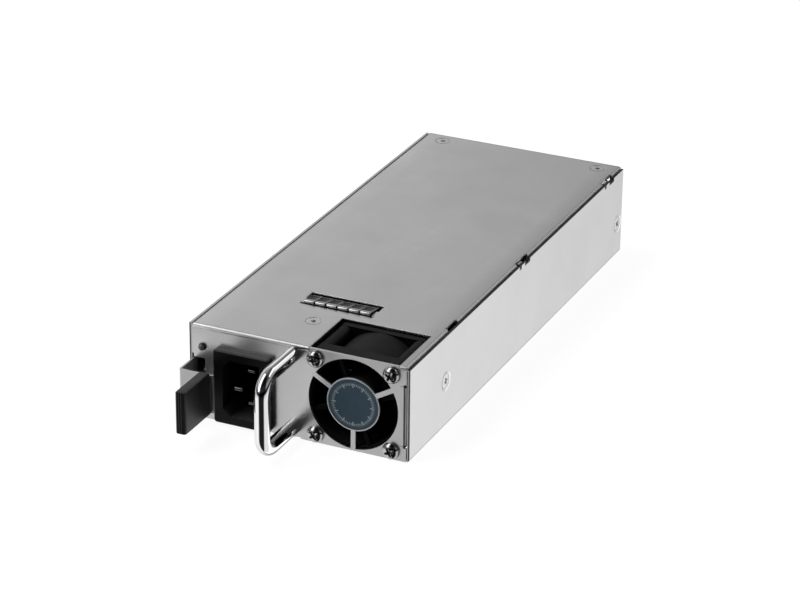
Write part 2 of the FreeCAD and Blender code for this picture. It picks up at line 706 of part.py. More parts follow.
gz0, gz1 = 8.4, 26.25
grip = Body("grip_body")
grip.pad("XY", gz0, gz1, [(-36.6, yy(-31.45), 0.9), (-32.2, yy(-31.45), 1.2), (-32.2, yy(-11.35), 0.4), (-36.6, yy(-11.35), 0.4)])
grip.fillet(0.5, lambda e: e.BoundBox.ZLength < 0.01 and (near(e.BoundBox.ZMin, gz0) or near(e.BoundBox.ZMin, gz1)))
# grooves along the front end
for x in (-35.55, -34.5, -33.45):
    grip.pocket("XY", 8, 27, rect(x - 0.22, x + 0.22, yy(-31.95), yy(-31.05)))
doc.recompute()
node("latch_grip", cut("latch_grip", grip.b, [spring.b]))

riv = Body("rivet_body")
riv.revolve("XZ", 0, [(0, -1.0), (1.5, -1.0), (1.5, 1.05), (2.6, 1.05), (2.6, 1.75), (1.9, 2.1), (0, 2.1)], 0, 0, (0, 1))
node("latch_rivet", copies("latch_rivet", riv.b, [(-IW, yy(66.0), 12.1, RIGHT)]))

# ---------------------------------------------------------------- AC inlet

il, ir = ix - inlet_w / 2, ix + inlet_w / 2
ib, it = iz - inlet_hh / 2, iz + inlet_hh / 2
inl = Body("inlet_body")
inl.pad("XZ", yy(0) - inlet_out, yy(0), rect(il, ir, ib, it, 1.2))
inl.chamfer(0.5, lambda e: near(e.BoundBox.YMin, (yy(0) - inlet_out).v) and e.BoundBox.YLength < 0.01)
inl.pad("XZ", yy(0), yy(24.0), rect(ix - body_w / 2, ix + body_w / 2, iz - body_h / 2, iz + body_h / 2, 1.0))
cav_l = ix - 7.9
cav_r = ix + 7.9
cav_b = iz - 12.1
cav_t = iz + 12.1
inl.pocket("XZ", yy(0) - inlet_out - 1, yy(0) - inlet_out + cav_d,
           [(cav_l, cav_b + 3.1), (cav_l + 3.1, cav_b), (cav_r, cav_b), (cav_r, cav_t),
            (cav_l + 3.1, cav_t), (cav_l, cav_t - 3.1)])
doc.recompute()
blade_w, blade_t = 4.0, 2.0
pins = [(q(-20.8), iz + 7.0, 1.1), (q(-20.8), iz - 7.0, 1.1), (q(-24.9), iz, -2.4)]
tools = []
blades = []
for i, (x, z, tip) in enumerate(pins):
    y0 = yy(0) - inlet_out + cav_d
    tools.append(box("inlet_pin_slot%d" % i, x - blade_w / 2, x + blade_w / 2, y0 - 1, yy(26),
                     z - blade_t / 2, z + blade_t / 2))
    b = Body("blade%d" % i)
    b.pad("YZ", x - blade_w / 2, x + blade_w / 2,
          rect(yy(tip), yy(24.0), z - blade_t / 2, z + blade_t / 2))
    b.fillet(0.7, along("Z", y=yy(tip).v))
    b.fillet(0.6, along("X", y=yy(tip).v))
    blades.append(fuse("contact_blade%d" % i, [b.b, box("terminal%d" % i, x - 2.4, x + 2.4, yy(24.0), yy(30.5), z - 0.4, z + 0.4)]))
node("inlet_housing", cut("inlet_housing", inl.b, tools))
node("inlet_pins", group("inlet_pins", blades))

# --------------------------------------------------------------------- LED

led = Body("led_body")
led.revolve("XY", led_z, [(led_x, yy(-1.9)), (led_x + led_r * 0.55, yy(-1.62)), (led_x + led_r * 0.87, yy(-1.1)),
                          (led_x + led_r, yy(-0.4)), (led_x + led_r, yy(1.05)), (led_x + 1.95, yy(1.05)),
                          (led_x + 1.95, yy(2.0)), (led_x + led_r, yy(2.0)), (led_x + led_r, yy(5.6)),
                          (led_x, yy(5.6))], led_x, yy(0), (0, 1))
node("status_led", led)
node("led_board", box("led_board", led_x - 3.2, led_x + 4.6, yy(5.6), yy(7.2), led_z - 4.5, led_z + 4.5))

# ---------------------------------------------------- spring contact strip

st = 0.25
n_fing = 6
fingers = []
fw = (strip_x1 - strip_x0) / n_fing
for i in range(n_fing):
    b = Body("finger%d" % (i + 1))
    x0 = strip_x0 + fw * i + gap / 2
    x1 = strip_x0 + fw * (i + 1) - gap / 2
    top = case_z
    prof_out = [(44.35, top - 2.6), (44.35, top - 0.45), (44.2, top - 0.25), (42.3, top + 0.4),
                (37.0, top + 1.24), (36.35, top + 1.33), (35.75, top + 1.14), (35.3, top + 0.6), (35.3, top - 2.6)]
    prof_in = [(35.3 + st, top - 2.6), (35.3 + st, top + 0.5), (35.9, top + 0.94), (36.4, top + 1.08), (36.96, top + 0.99),
               (42.24, top + 0.155), (44.05, top - 0.46), (44.35 - st, top - 0.53), (44.35 - st, top - 2.6)]
    b.pad("YZ", x0, x1, [(yy(u), v) for u, v in prof_out + prof_in])
    fingers.append(b.b)
rail = box("finger_rail", strip_x0, strip_x1, yy(44.35 - st), yy(44.35), case_z - 2.6, case_z - 1.9)
rail2 = box("finger_rail_front", strip_x0, strip_x1, yy(35.3), yy(35.3 + st), case_z - 2.6, case_z - 1.9)
node("contact_strip", fuse("contact_strip", fingers + [rail, rail2]))

# --------------------------------------------------------------------- fan

FR = fan_s / 2
fy0 = yy(1.0)
fy1 = fy0 + fan_d
fr = Body("fan_frame_body")
fr.pad("XZ", fy0, fy1, rect(fx - FR, fx + FR, fz - FR, fz + FR, 2.6))
fr.pocket("XZ", fy0 - 1, fy1 + 1, ("c", fx, fz, bore))
doc.recompute()
ring = box("fan_ring_block", fx - FR - 1, fx + FR + 1, fy0 + flange_front, fy1 - flange_rear, fz - FR - 1, fz + FR + 1)
keep = [cyl("fan_barrel", barrel, fan_d, fx, fy0, fz, "Y")]
for i, (sx, sz) in enumerate(((-1, -1), (-1, 1), (1, -1), (1, 1))):
    keep.append(cyl("fan_post%d" % i, 2.95, fan_d, fx + sx * fh, fy0, fz + sz * fh, "Y"))
waist = cut("fan_waist", ring, keep)
holes = [cyl("fan_hole%d" % i, 1.6, fan_d + 2, fx + sx * fh, fy0 - 1, fz + sz * fh, "Y")
         for i, (sx, sz) in enumerate(((-1, -1), (-1, 1), (1, -1), (1, 1)))]
frame_cut = cut("fan_frame_waisted", fr.b, [waist] + holes)
# motor base and its four struts on the outlet side, facing the guard
base = cyl("fan_base", base_r, 1.4, fx, fy0 + 0.3, fz, "Y")
wall_ = cut("fan_base_cup", cyl("fan_cup_out", base_r, 3.0, fx, fy0 + 0.3, fz, "Y"),
            [cyl("fan_cup_in", base_r - 0.9, 3.0, fx, fy0 + 1.7, fz, "Y")])
tube = cyl("fan_tube", 3.3, 15.3, fx, fy0 + 0.3, fz, "Y")
struts = []
for k in range(4):
    a = 20 + 90 * k
    s = doc.addObject("Part::Box", "fan_strut%d" % k)
    setq(s, "Length", bore - base_r + 1.1)
    setq(s, "Width", 2.2)
    setq(s, "Height", 1.7)
    r = Rotation(Vector(0, 1, 0), -a)
    off = r.multVec(Vector(base_r.v - 0.6, 0, -0.85))
    place(s, fx + off.x, fy0 + 0.5, fz + off.z, r)
    struts.append(s)
frame_all = fuse("fan_frame_all", [frame_cut, base, wall_, tube] + struts)
node("fan_frame", cut("fan_frame", frame_all,
     [cyl("fan_tube_bore", 2.5, 14.6, fx, fy0 + 1.2, fz, "Y")]))

brg = []
for i, a in enumerate((2.0, 12.0)):
    brg.append(cut("bearing_ring%d" % i, cyl("bearing_out%d" % i, 2.45, 2.3, fx, fy0 + a, fz, "Y"),
                   [cyl("bearing_in%d" % i, shaft_r + 0.03, 4, fx, fy0 + a - 1, fz, "Y")]))
node("fan_bearings", group("fan_bearings", brg))

hub = Body("hub_body")
h0, h1 = fy0 + 4.2, fy0 + 20.0
hub.revolve("XY", fz, [(fx, h1), (fx + hub_r - 1.2, h1), (fx + hub_r, h1 - 1.2), (fx + hub_r, h0),
                       (fx + hub_r - 0.9, h0), (fx + hub_r - 0.9, h1 - 1.3), (fx, h1 - 1.3)],
            fx, fz * 0, (0, 1))
blade_n = 7
ann = cut("blade_limits", cyl("blade_tips", tip_r, 15.0, fx, fy0 + 4.7, fz, "Y"),
          [cyl("blade_roots", hub_r - 0.4, 20, fx, fy0 + 3.4, fz, "Y")])
bl = []
for k in range(blade_n):
    a = 360.0 * k / blade_n
    s = doc.addObject("Part::Box", "blade_blank%d" % k)
    setq(s, "Length", tip_r + 2 - 8.0)
    setq(s, "Width", blade_ch)
    setq(s, "Height", blade_tt)
    spin = Rotation(Vector(0, 1, 0), -a)
    pitch = Rotation(Vector(1, 0, 0), 38)
    rot = spin.multiply(pitch)
    c = spin.multVec(Vector(8.0, 0, 0)) + rot.multVec(Vector(0, -blade_ch.v / 2, -blade_tt.v / 2))
    place(s, fx + c.x, fy0 + 12.2 + c.y, fz + c.z, rot)
    bl.append(common("blade%d" % (k + 1), ann, s))
node("fan_blades", fuse("fan_blades", [hub.b] + bl, refine=False))
node("fan_magnet", cut("fan_magnet", cyl("magnet_out", hub_r - 0.95, 13.4, fx, fy0 + 5.0, fz, "Y"),
                       [cyl("magnet_in", hub_r - 2.5, 16, fx, fy0 + 4.0, fz, "Y")]))
node("fan_shaft", cyl("fan_shaft", shaft_r, 16.7, fx, fy0 + 2.0, fz, "Y"))
node("fan_stator", cut("fan_stator", cyl("stator_out", 6.7, 6.0, fx, fy0 + 7.0, fz, "Y"),
                       [cyl("stator_in", 3.4, 9, fx, fy0 + 6.0, fz, "Y")]))
coils = []
for k in range(4):
    a = math.radians(45 + 90 * k)
    coils.append(cyl("coil_f%d" % k, 1.45, 1.6, fx + 5.0 * math.cos(a), fy0 + 5.35, fz + 5.0 * math.sin(a), "Y"))
    coils.append(cyl("coil_r%d" % k, 1.45, 1.6, fx + 5.0 * math.cos(a), fy0 + 13.05, fz + 5.0 * math.sin(a), "Y"))
node("fan_coils", group("fan_coils", coils))
node("fan_driver_board", cut("fan_driver_board", cyl("driver_disc", 8.6, 0.8, fx, fy0 + 3.4, fz, "Y"),
                             [cyl("driver_hole", 3.5, 3, fx, fy0 + 2.4, fz, "Y")]))
node("guard_badge", cyl("guard_badge", disc_r - 0.4, 0.2, fx, yy(-0.2), fz, "Y"))

# -------------------------------------------------------------- main board

brd = Body("board_body")
brd.pad("XY", board_z, BZ,
        [(-45.0, yy(32.0)), (45.0, yy(32.0)), (45.0, RY - 1.6), (19.5, RY - 1.6),
         (19.5, RY + tongue, 0.8), (-31.5, RY + tongue, 0.8), (-31.5, RY - 1.6), (-45.0, RY - 1.6)])
# clear of the latch arm on the left, and the keying slot of the card edge
brd.pocket("XY", 0, 10, rect(-46.0, -43.6, yy(31), yy(72)))
brd.pocket("XY", 0, 10, rect(-3.2, -1.6, RY + 2.0, RY + tongue + 1))
brd.chamfer(0.4, along("X", z=[5.0, 6.6], y=122.5))
doc.recompute()
tools = [cyl("board_hole%d" % i, 1.6, 4, x, y, board_z - 1) for i, (x, y) in enumerate(board_screw_xy)]
node("main_board", cut("main_board", brd.b, tools))

cf = []
k = 0
for i in range(25):
    xc = -29.6 + 2.0 * i
    if -4.4 < xc < -0.6:
        continue
    for z0 in (board_z - 0.06, BZ):
        cf.append(box("contact%d" % k, xc - cw_ / 2, xc + cw_ / 2, RY + 2.0, RY + tongue - 0.9, z0, z0 + 0.06))
        k += 1
node("edge_contacts", group("edge_contacts", cf))

sos, scr = [], []
for i, (x, y) in enumerate(board_screw_xy):
    sos.append(cut("standoff%d" % i, cyl("standoff_out%d" % i, so_r, board_z - sheet_t, x, y, sheet_t),
                   [cyl("standoff_in%d" % i, 1.3, 8, x, y, 0.5)]))
node("board_standoffs", group("board_standoffs", sos))
bs = pan_screw("board_screw", q(2.6), q(1.6), q(1.25), q(5.2), 0, 0, 0, "Z")
node("board_screws", copies("board_screws", bs, [(x, y, BZ, UP) for x, y in board_screw_xy]))

film = Body("film_body")
film.pad("XY", sheet_t + 0.1, sheet_t + 0.5, rect(-45.0, 45.0, yy(31.0), RY - 2.0))
film.pocket("XY", 0, 3, rect(-46.0, -43.6, yy(30), yy(72)))
doc.recompute()
node("insulation_sheet", cut("insulation_sheet", film.b,
     [cyl("film_hole%d" % i, so_r + 0.3, 3, x, y, 0.5) for i, (x, y) in enumerate(board_screw_xy)]))

# ------------------------------------------------------- line-side parts

node("line_fuse", fuse("line_fuse", [cyl("fuse_tube", 2.9, 19, -38.6, yy(46.5), 11.6, "Y"),
                                    cyl("fuse_cap_a", 3.2, 5, -38.6, yy(42), 11.6, "Y"),
                                    cyl("fuse_cap_b", 3.2, 5, -38.6, yy(65), 11.6, "Y")]))
clips = []
for i, a in enumerate((43.0, 66.0)):
    c = cut("clip%d" % i, box("clip_block%d" % i, -42.4, -34.8, yy(a), yy(a + 3), BZ, 13.5),
            [cyl("clip_bore%d" % i, 3.25, 6, -38.6, yy(a - 1), 11.6, "Y"),
             box("clip_gap%d" % i, -41.4, -35.8, yy(a - 1), yy(a + 4), 12.0, 14)])
    clips.append(c)
node("fuse_clips", group("fuse_clips", clips))
node("surge_varistor", cyl("surge_varistor", 6.0, 4.6, -38.4, yy(76), BZ + 6.8, "Y"))
node("x_capacitors", group("x_capacitors",
     [pfillet("xcap_a_r", box("xcap_a", -31.0, -12.0, yy(37), yy(46.5), BZ, 24.5), 0.8, along("Z")),
      pfillet("xcap_b_r", box("xcap_b", -31.0, -12.0, yy(69.0), yy(78.5), BZ, 24.5), 0.8, along("Z"))]))
cores, winds = [], []
for i, a in enumerate((51.0, 84.0)):
    zc = BZ + 13.2
    ring_ = cut("cm_core%d" % i, cyl("cm_core_out%d" % i, 11.0, 9.0, -21.5, yy(a + 2), zc, "Y"),
                [cyl("cm_core_in%d" % i, 6.5, 12, -21.5, yy(a + 1), zc, "Y")])
    cores.append(ring_)
    for j, a0 in enumerate((-70, 110)):
        rot = Rotation(Vector(0, 1, 0), -a0).multiply(AX["Y"])
        w = cut("cm_wind%d%d" % (i, j), cyl("cm_w_out%d%d" % (i, j), 12.9, 12.6, -21.5, yy(a + 0.2), zc, angle=140, rot=rot),
                [cyl("cm_w_in%d%d" % (i, j), 4.7, 14, -21.5, yy(a - 0.5), zc, "Y"),
                 cut("cm_w_core%d%d" % (i, j), cyl("cm_wc_out%d%d" % (i, j), 11.1, 9.2, -21.5, yy(a + 1.9), zc, "Y"),
                     [cyl("cm_wc_in%d%d" % (i, j), 6.4, 12, -21.5, yy(a + 1), zc, "Y")])])
        winds.append(w)
node("choke_cores", group("choke_cores", cores))
node("choke_windings", group("choke_windings", winds))
node("y_capacitors", group("y_capacitors",
     [cyl("ycap%d" % i, 4.0, 3.2, -6.5 + 0 * i, yy(a), BZ + 4.6, "Y") for i, a in enumerate((38, 44, 71, 77))]))
node("inrush_relay", pfillet("relay_r", box("relay", -7.5, 5.0, yy(50.0), yy(68.0), BZ, 22.0), 0.6, along("Z")))

# ------------------------------------------------------- power-factor stage

bc_x, bc_y = 28.0, 51.5
bcore = cut("boost_core", cyl("boost_core_out", 12.6, 11.0, bc_x, yy(bc_y), BZ + 1.8),
            [cyl("boost_core_in", 7.2, 14, bc_x, yy(bc_y), BZ + 2)])
node("boost_choke_core", bcore)
bw = []
for j in range(12):
    a0 = 30 * j + 2
    rot = Rotation(Vector(0, 0, 1), a0)
    w = cut("boost_turn%d" % j, cyl("boost_w_out%d" % j, 14.2, 14.4, bc_x, yy(bc_y), BZ + 0.1, angle=24, rot=rot),
            [cyl("boost_w_in%d" % j, 5.5, 20, bc_x, yy(bc_y), BZ - 1),
             cut("boost_w_core%d" % j, cyl("boost_wc_out%d" % j, 12.7, 11.2, bc_x, yy(bc_y), BZ + 1.7),
                 [cyl("boost_wc_in%d" % j, 7.1, 14, bc_x, yy(bc_y), BZ + 2)])])
    bw.append(w)
node("boost_choke_winding", group("boost_choke_winding", bw))

caps = []
for i, a in enumerate((72.0, 118.0)):
    b = Body("bulk%d" % i)
    z = BZ + cap_r + 0.4
    b.revolve("XY", z, [(29.6, yy(a)), (29.6 + cap_r - 1, yy(a)), (29.6 + cap_r, yy(a + 1)), (29.6 + cap_r, yy(a + 3.0)),
                        (29.6 + cap_r - 0.9, yy(a + 3.8)), (29.6 + cap_r, yy(a + 4.6)),
                        (29.6 + cap_r, yy(a + 41.0)), (29.6 + cap_r - 1, yy(a + 42.0)), (29.6, yy(a + 42.0))],
              29.6, yy(a), (0, 1))
    caps.append(b.b)
node("bulk_capacitors", group("bulk_capacitors", caps))

hsk = Body("primary_sink_body")
hsk.pad("YZ", 8.2, 11.0, rect(yy(76), yy(150), BZ, 36.0))
fin = hsk.pad("YZ", 11.0, 15.8, rect(yy(76), yy(150), 12.0, 13.2))
hsk.pattern([fin], "Z", 20.0, 6)
node("primary_heatsink", hsk)
trs = []
for i, a in enumerate((80, 98, 116, 134)):
    trs.append(box("fet%d" % i, 3.2, 8.2, yy(a), yy(a + 14.0), 12.0, 30.0))
node("power_transistors", group("power_transistors", trs))
rec = Body("rectifier_body")
rec.pad("YZ", 5.6, 9.2, [(yy(73.8) - 20 + 14.5, BZ + 5), (yy(73.8) + 1.2, BZ + 5), (yy(73.8) + 1.2, 29.0), (yy(73.8) - 1.8, 31.0),
                         (yy(73.8) - 5.5, 31.0)])
node("bridge_rectifier", rec)

# ------------------------------------------------------------ transformer

tx0, tx1, ty0, ty1, tz0, tz1 = -39.0, -3.0, 112.0, 138.0, BZ, q(36.4)
core_ = cut("transformer_core", box("tf_block", tx0, tx1, yy(ty0), yy(ty1), tz0, tz1),
            [box("tf_win_l", tx0 + 5, -26.5, yy(ty0 - 1), yy(ty1 + 1), tz0 + 5, tz1 - 5),
             box("tf_win_r", -15.5, tx1 - 5, yy(ty0 - 1), yy(ty1 + 1), tz0 + 5, tz1 - 5)])
node("transformer_core", core_)
wnd = cut("transformer_winding",
          pfillet("tf_wind_r", box("tf_wind", tx0 + 5.3, tx1 - 5.3, yy(ty0 - 5), yy(ty1 + 5), tz0 + 5.4, tz1 - 5.4), 4.0, along("Z")),
          [box("tf_leg", -26.7, -15.3, yy(ty0 - 0.3), yy(ty1 + 0.3), tz0, tz1)])
node("transformer_winding", wnd)

# ---------------------------------------------------------- low-voltage end

sk = Body("secondary_sink_body")
sk.pad("XZ", yy(151.5), yy(154.5), rect(-40.0, 12.0, BZ, 36.0))
fin = sk.pad("XZ", yy(154.5), yy(160.0), rect(-40.0, -38.8, 12.0, 36.0))
sk.pattern([fin], "X", 50.0, 11)
node("secondary_heatsink", sk)
node("rectifier_transistors", group("rectifier_transistors",
     [box("sfet%d" % i, x, x + 10.0, yy(147.0), yy(151.5), 9.0, 24.5) for i, x in enumerate((-39.0, -27.0, -15.0))]))
oc = cut("output_choke", pfillet("oc_round", box("oc_block", -40.0, -17.0, yy(164.0), yy(186.0), BZ, 28.0), 1.2, along("Z")),
         [box("oc_window", -37.0, -20.0, yy(163), yy(187), BZ + 5, 23.5)])
node("output_choke_core", oc)
node("output_choke_winding", box("output_choke_winding", -36.8, -20.2, yy(165.0), yy(185.0), BZ + 5.4, 23.1))
oc_caps = []
for i in range(4):
    for j in range(2):
        x, a = -10.0 + 10.0 * i, 170.0 + 11.5 * j
        b = Body("outcap%d%d" % (i, j))
        b.revolve("XZ", yy(a), [(x, BZ), (x + 4.0, BZ), (x + 4.0, BZ + 1.2), (x + 3.7, BZ + 1.7), (x + 4.0, BZ + 2.2),
                                (x + 4.0, BZ + 18.6), (x + 3.6, BZ + 19.0), (x, BZ + 19.0)], x, 0, (0, 1))
        oc_caps.append(b.b)
node("output_capacitors", group("output_capacitors", oc_caps))
cb = Body("control_board_body")
cb.pad("YZ", 29.0, 30.6, rect(yy(166.0), yy(206.0), BZ, 34.0))
node("control_board", cb)
node("control_chips", group("control_chips",
     [box("chip_a", 26.9, 29.0, yy(172), yy(184), 15.0, 27.0), box("chip_b", 26.9, 29.0, yy(189), yy(197), 19.0, 27.0),
      box("chip_c", 30.6, 32.4, yy(176), yy(186), 12.0, 20.0), box("chip_d", 30.6, 32.4, yy(191), yy(199), 22.0, 30.0)]))
node("output_busbars", group("output_busbars",
     [box("bus_a", -31.0, -6.0, yy(192.0), yy(204.0), BZ, BZ + 3.0), box("bus_b", -3.0, 20.0, yy(192.0), yy(204.0), BZ, BZ + 3.0)]))

# ------------------------------------------------------------------ wiring

# fan connector on the board and the lead's four wires from the frame's rear edge
node("fan_header", box("fan_header", 0.5, 9.5, yy(33.5), yy(39.5), BZ, 13.0))


def wire(n, r, pts, bend):
    """Straight runs joined by tangent arcs."""
    p = [Vector(*[q(c).v for c in t]) for t in pts]
    edges, last = [], p[0]
    for i in range(1, len(p) - 1):
        a, b = (p[i - 1] - p[i]).normalize(), (p[i + 1] - p[i]).normalize()
        half = a.getAngle(b) / 2.0
        cutb = bend / math.tan(half)
        s, e = p[i] + a * cutb, p[i] + b * cutb
        bis = (a + b).normalize()
        mid = p[i] + bis * (bend / math.sin(half) - bend)
        edges.append(Part.LineSegment(last, s).toShape())
        edges.append(Part.Arc(s, mid, e).toShape())
        last = e
    edges.append(Part.LineSegment(last, p[-1]).toShape())
    path = Part.Wire(edges)
    prof = Part.Wire(Part.makeCircle(r, p[0], (p[1] - p[0]).normalize()))
    sh = path.makePipeShell([prof], True, True)
    if sh.Volume < 0:
        sh.reverse()
    o = doc.addObject("Part::Feature", n)
    o.Shape = sh
    return o


node("fan_wires", group("fan_wires",
     [wire("fan_wire%d" % i, wr.v, [(2.4 + 1.3 * i, yy(29.0 + 0.0), 7.2), (2.4 + 1.3 * i, yy(31.4), 7.2),
                                    (2.4 + 1.3 * i, yy(31.4), 10.0 + 0 * i), (2.4 + 1.3 * i, yy(33.5), 10.0)], 0.9)
      for i in range(4)]))
node("line_wires", group("line_wires",
     [wire("line_wire_a", ar.v, [(-20.8, yy(30.5), pins[0][1]), (-20.8, yy(34.6), pins[0][1]), (-33.0, yy(34.6), pins[0][1]),
                                 (-33.0, yy(34.6), BZ)], 2.2),
      wire("line_wire_b", ar.v, [(-20.8, yy(30.5), pins[1][1]), (-20.8, yy(34.2), pins[1][1]), (-12.0, yy(34.2), pins[1][1]),
                                 (-12.0, yy(34.2), BZ)], 1.7)]))
node("earth_wire", wire("earth_wire", ar.v, [(-24.9, yy(30.5), pins[2][1]), (-24.9, yy(32.0), pins[2][1]),
                                            (-36.0, yy(32.0), pins[2][1]), (-36.0, yy(28.0), pins[2][1]),
                                            (-36.0, yy(28.0), 2.9)], 1.4))
node("earth_terminal", fuse("earth_terminal", [cyl("earth_stud", 2.2, 1.0, -36.0, yy(28.0), sheet_t),
                                              cyl("earth_lug", 3.4, 0.9, -36.0, yy(28.0), sheet_t + 1.0)]))

# ------------------------------------------------------ check and write out

doc.recompute()
bad = []
for o in doc.Objects:
    if any(k in ("Invalid", "Error") for k in o.State):
        bad.append(o.Name)
if bad:
    raise RuntimeError("failed objects: " + ", ".join(bad))
if len(nodes) > 60 or len({n for n, _ in nodes}) != len(nodes):
    raise RuntimeError("node names: %d" % len(nodes))
os.makedirs("parts", exist_ok=True)
for name, obj in nodes:
    shp = obj.Shape
    if shp.isNull() or not shp.isValid() or not shp.Solids:
        raise RuntimeError("bad shape: " + name)
    if any(s.Volume <= 0 for s in shp.Solids):
        raise RuntimeError("inside-out solid: " + name)
for name, obj in nodes:
    obj.Shape.exportStep("parts/%s.step" % name)
print(len(nodes), "nodes written")
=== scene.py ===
import json
import math

import bmesh
import bpy
from mathutils import Matrix, Vector


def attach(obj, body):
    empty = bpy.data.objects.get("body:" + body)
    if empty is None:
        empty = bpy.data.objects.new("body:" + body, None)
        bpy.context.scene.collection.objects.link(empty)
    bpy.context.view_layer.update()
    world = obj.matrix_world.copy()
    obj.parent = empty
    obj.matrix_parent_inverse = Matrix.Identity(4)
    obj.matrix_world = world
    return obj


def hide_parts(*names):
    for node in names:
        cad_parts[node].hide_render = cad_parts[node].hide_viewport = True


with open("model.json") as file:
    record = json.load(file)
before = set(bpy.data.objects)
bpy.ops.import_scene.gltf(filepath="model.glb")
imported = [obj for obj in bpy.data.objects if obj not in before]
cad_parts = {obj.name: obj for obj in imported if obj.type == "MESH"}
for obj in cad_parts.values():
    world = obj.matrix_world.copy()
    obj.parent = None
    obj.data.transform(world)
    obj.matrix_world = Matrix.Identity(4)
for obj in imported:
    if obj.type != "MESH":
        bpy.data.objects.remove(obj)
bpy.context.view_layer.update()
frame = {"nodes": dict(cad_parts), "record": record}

scene = bpy.context.scene
MM = 0.001
FRONT_Y = -0.111            # the case's front face


def P(x, y, z):
    """Millimetres, with y counted back from the front face, to the shared frame in metres."""
    return Vector((x * MM, y * MM + FRONT_Y, z * MM))


# ------------------------------------------------------------------ materials

class Tree:
    """Short way to write a node tree."""

    def __init__(self, name):
        self.m = bpy.data.materials.new(name)
        self.m.use_nodes = True
        self.t = self.m.node_tree
        self.bsdf = self.t.nodes["Principled BSDF"]
        self.out = self.t.nodes["Material Output"]
        self.coord = self.t.nodes.new("ShaderNodeTexCoord")

    def n(self, kind, **props):
        node = self.t.nodes.new("ShaderNode" + kind)
        for k, v in props.items():
            setattr(node, k, v)
        return node

    def link(self, a, b):
        self.t.links.new(a, b)

    def val(self, **kw):
        names = {"color": "Base Color", "metal": "Metallic", "rough": "Roughness", "ior": "IOR",
                 "coat": "Coat Weight", "coat_rough": "Coat Roughness", "spec": "Specular IOR Level",
                 "aniso": "Anisotropic", "trans": "Transmission Weight", "alpha": "Alpha",
                 "sheen": "Sheen Weight"}
        for k, v in kw.items():
            if k == "color" and len(v) == 3:
                v = (*v, 1.0)
            self.bsdf.inputs[names[k]].default_value = v

    def mapping(self, scale=(1, 1, 1), rot=(0, 0, 0), loc=(0, 0, 0)):
        mp = self.n("Mapping")
        self.link(self.coord.outputs["Object"], mp.inputs["Vector"])
        mp.inputs["Scale"].default_value = scale
        mp.inputs["Rotation"].default_value = rot
        mp.inputs["Location"].default_value = loc
        return mp.outputs["Vector"]

    def noise(self, scale, detail=3.0, rough=0.5, vec=None, distortion=0.0):
        nz = self.n("TexNoise")
        nz.inputs["Scale"].default_value = scale
        nz.inputs["Detail"].default_value = detail
        nz.inputs["Roughness"].default_value = rough
        nz.inputs["Distortion"].default_value = distortion
        self.link(vec if vec is not None else self.coord.outputs["Object"], nz.inputs["Vector"])
        return nz.outputs["Fac"]

    def voronoi(self, scale, vec=None, feature="F1", rnd=1.0):
        v = self.n("TexVoronoi", feature=feature)
        v.inputs["Scale"].default_value = scale
        v.inputs["Randomness"].default_value = rnd
        self.link(vec if vec is not None else self.coord.outputs["Object"], v.inputs["Vector"])
        return v

    def map(self, src, a0, a1, b0, b1, smooth=False):
        r = self.n("MapRange")
        if smooth:
            r.interpolation_type = "SMOOTHSTEP"
        r.inputs["From Min"].default_value = a0
        r.inputs["From Max"].default_value = a1
        r.inputs["To Min"].default_value = b0
        r.inputs["To Max"].default_value = b1
        self.link(src, r.inputs["Value"])
        return r.outputs["Result"]

    def math(self, op, a, b=None, c=None):
        mt = self.n("Math", operation=op)
        for i, v in enumerate((a, b, c)):
            if v is None:
                continue
            if isinstance(v, (int, float)):
                mt.inputs[i].default_value = v
            else:
                self.link(v, mt.inputs[i])
        return mt.outputs[0]

    def mix(self, fac, a, b):
        mx = self.n("Mix", data_type="RGBA")
        for i, v in ((0, fac), (6, a), (7, b)):
            if isinstance(v, (int, float)):
                mx.inputs[i].default_value = v
            elif isinstance(v, tuple):
                mx.inputs[i].default_value = (*v, 1.0) if len(v) == 3 else v
            else:
                self.link(v, mx.inputs[i])
        return mx.outputs[2]

    def bump(self, height, strength=0.3, dist=0.0001, normal=None):
        b = self.n("Bump")
        b.inputs["Strength"].default_value = strength
        b.inputs["Distance"].default_value = dist
        self.link(height, b.inputs["Height"])
        if normal is not None:
            self.link(normal, b.inputs["Normal"])
        return b.outputs["Normal"]

    def round_edges(self, radius):
        b = self.n("Bevel", samples=6)
        b.inputs["Radius"].default_value = radius
        return b.outputs["Normal"]

    def wear(self, radius=0.0004):
        """About 0 on faces and 1 on worn outer edges."""
        b = self.n("Bevel", samples=6)
        b.inputs["Radius"].default_value = radius
        g = self.n("NewGeometry")
        d = self.n("VectorMath", operation="DOT_PRODUCT")
        self.link(b.outputs["Normal"], d.inputs[0])
        self.link(g.outputs["Normal"], d.inputs[1])
        return self.map(d.outputs["Value"], 0.97, 0.80, 0.0, 1.0)

    def color(self, src):
        self.link(src, self.bsdf.inputs["Base Color"])

    def rough(self, src):
        self.link(src, self.bsdf.inputs["Roughness"])

    def normal(self, src):
        self.link(src, self.bsdf.inputs["Normal"])


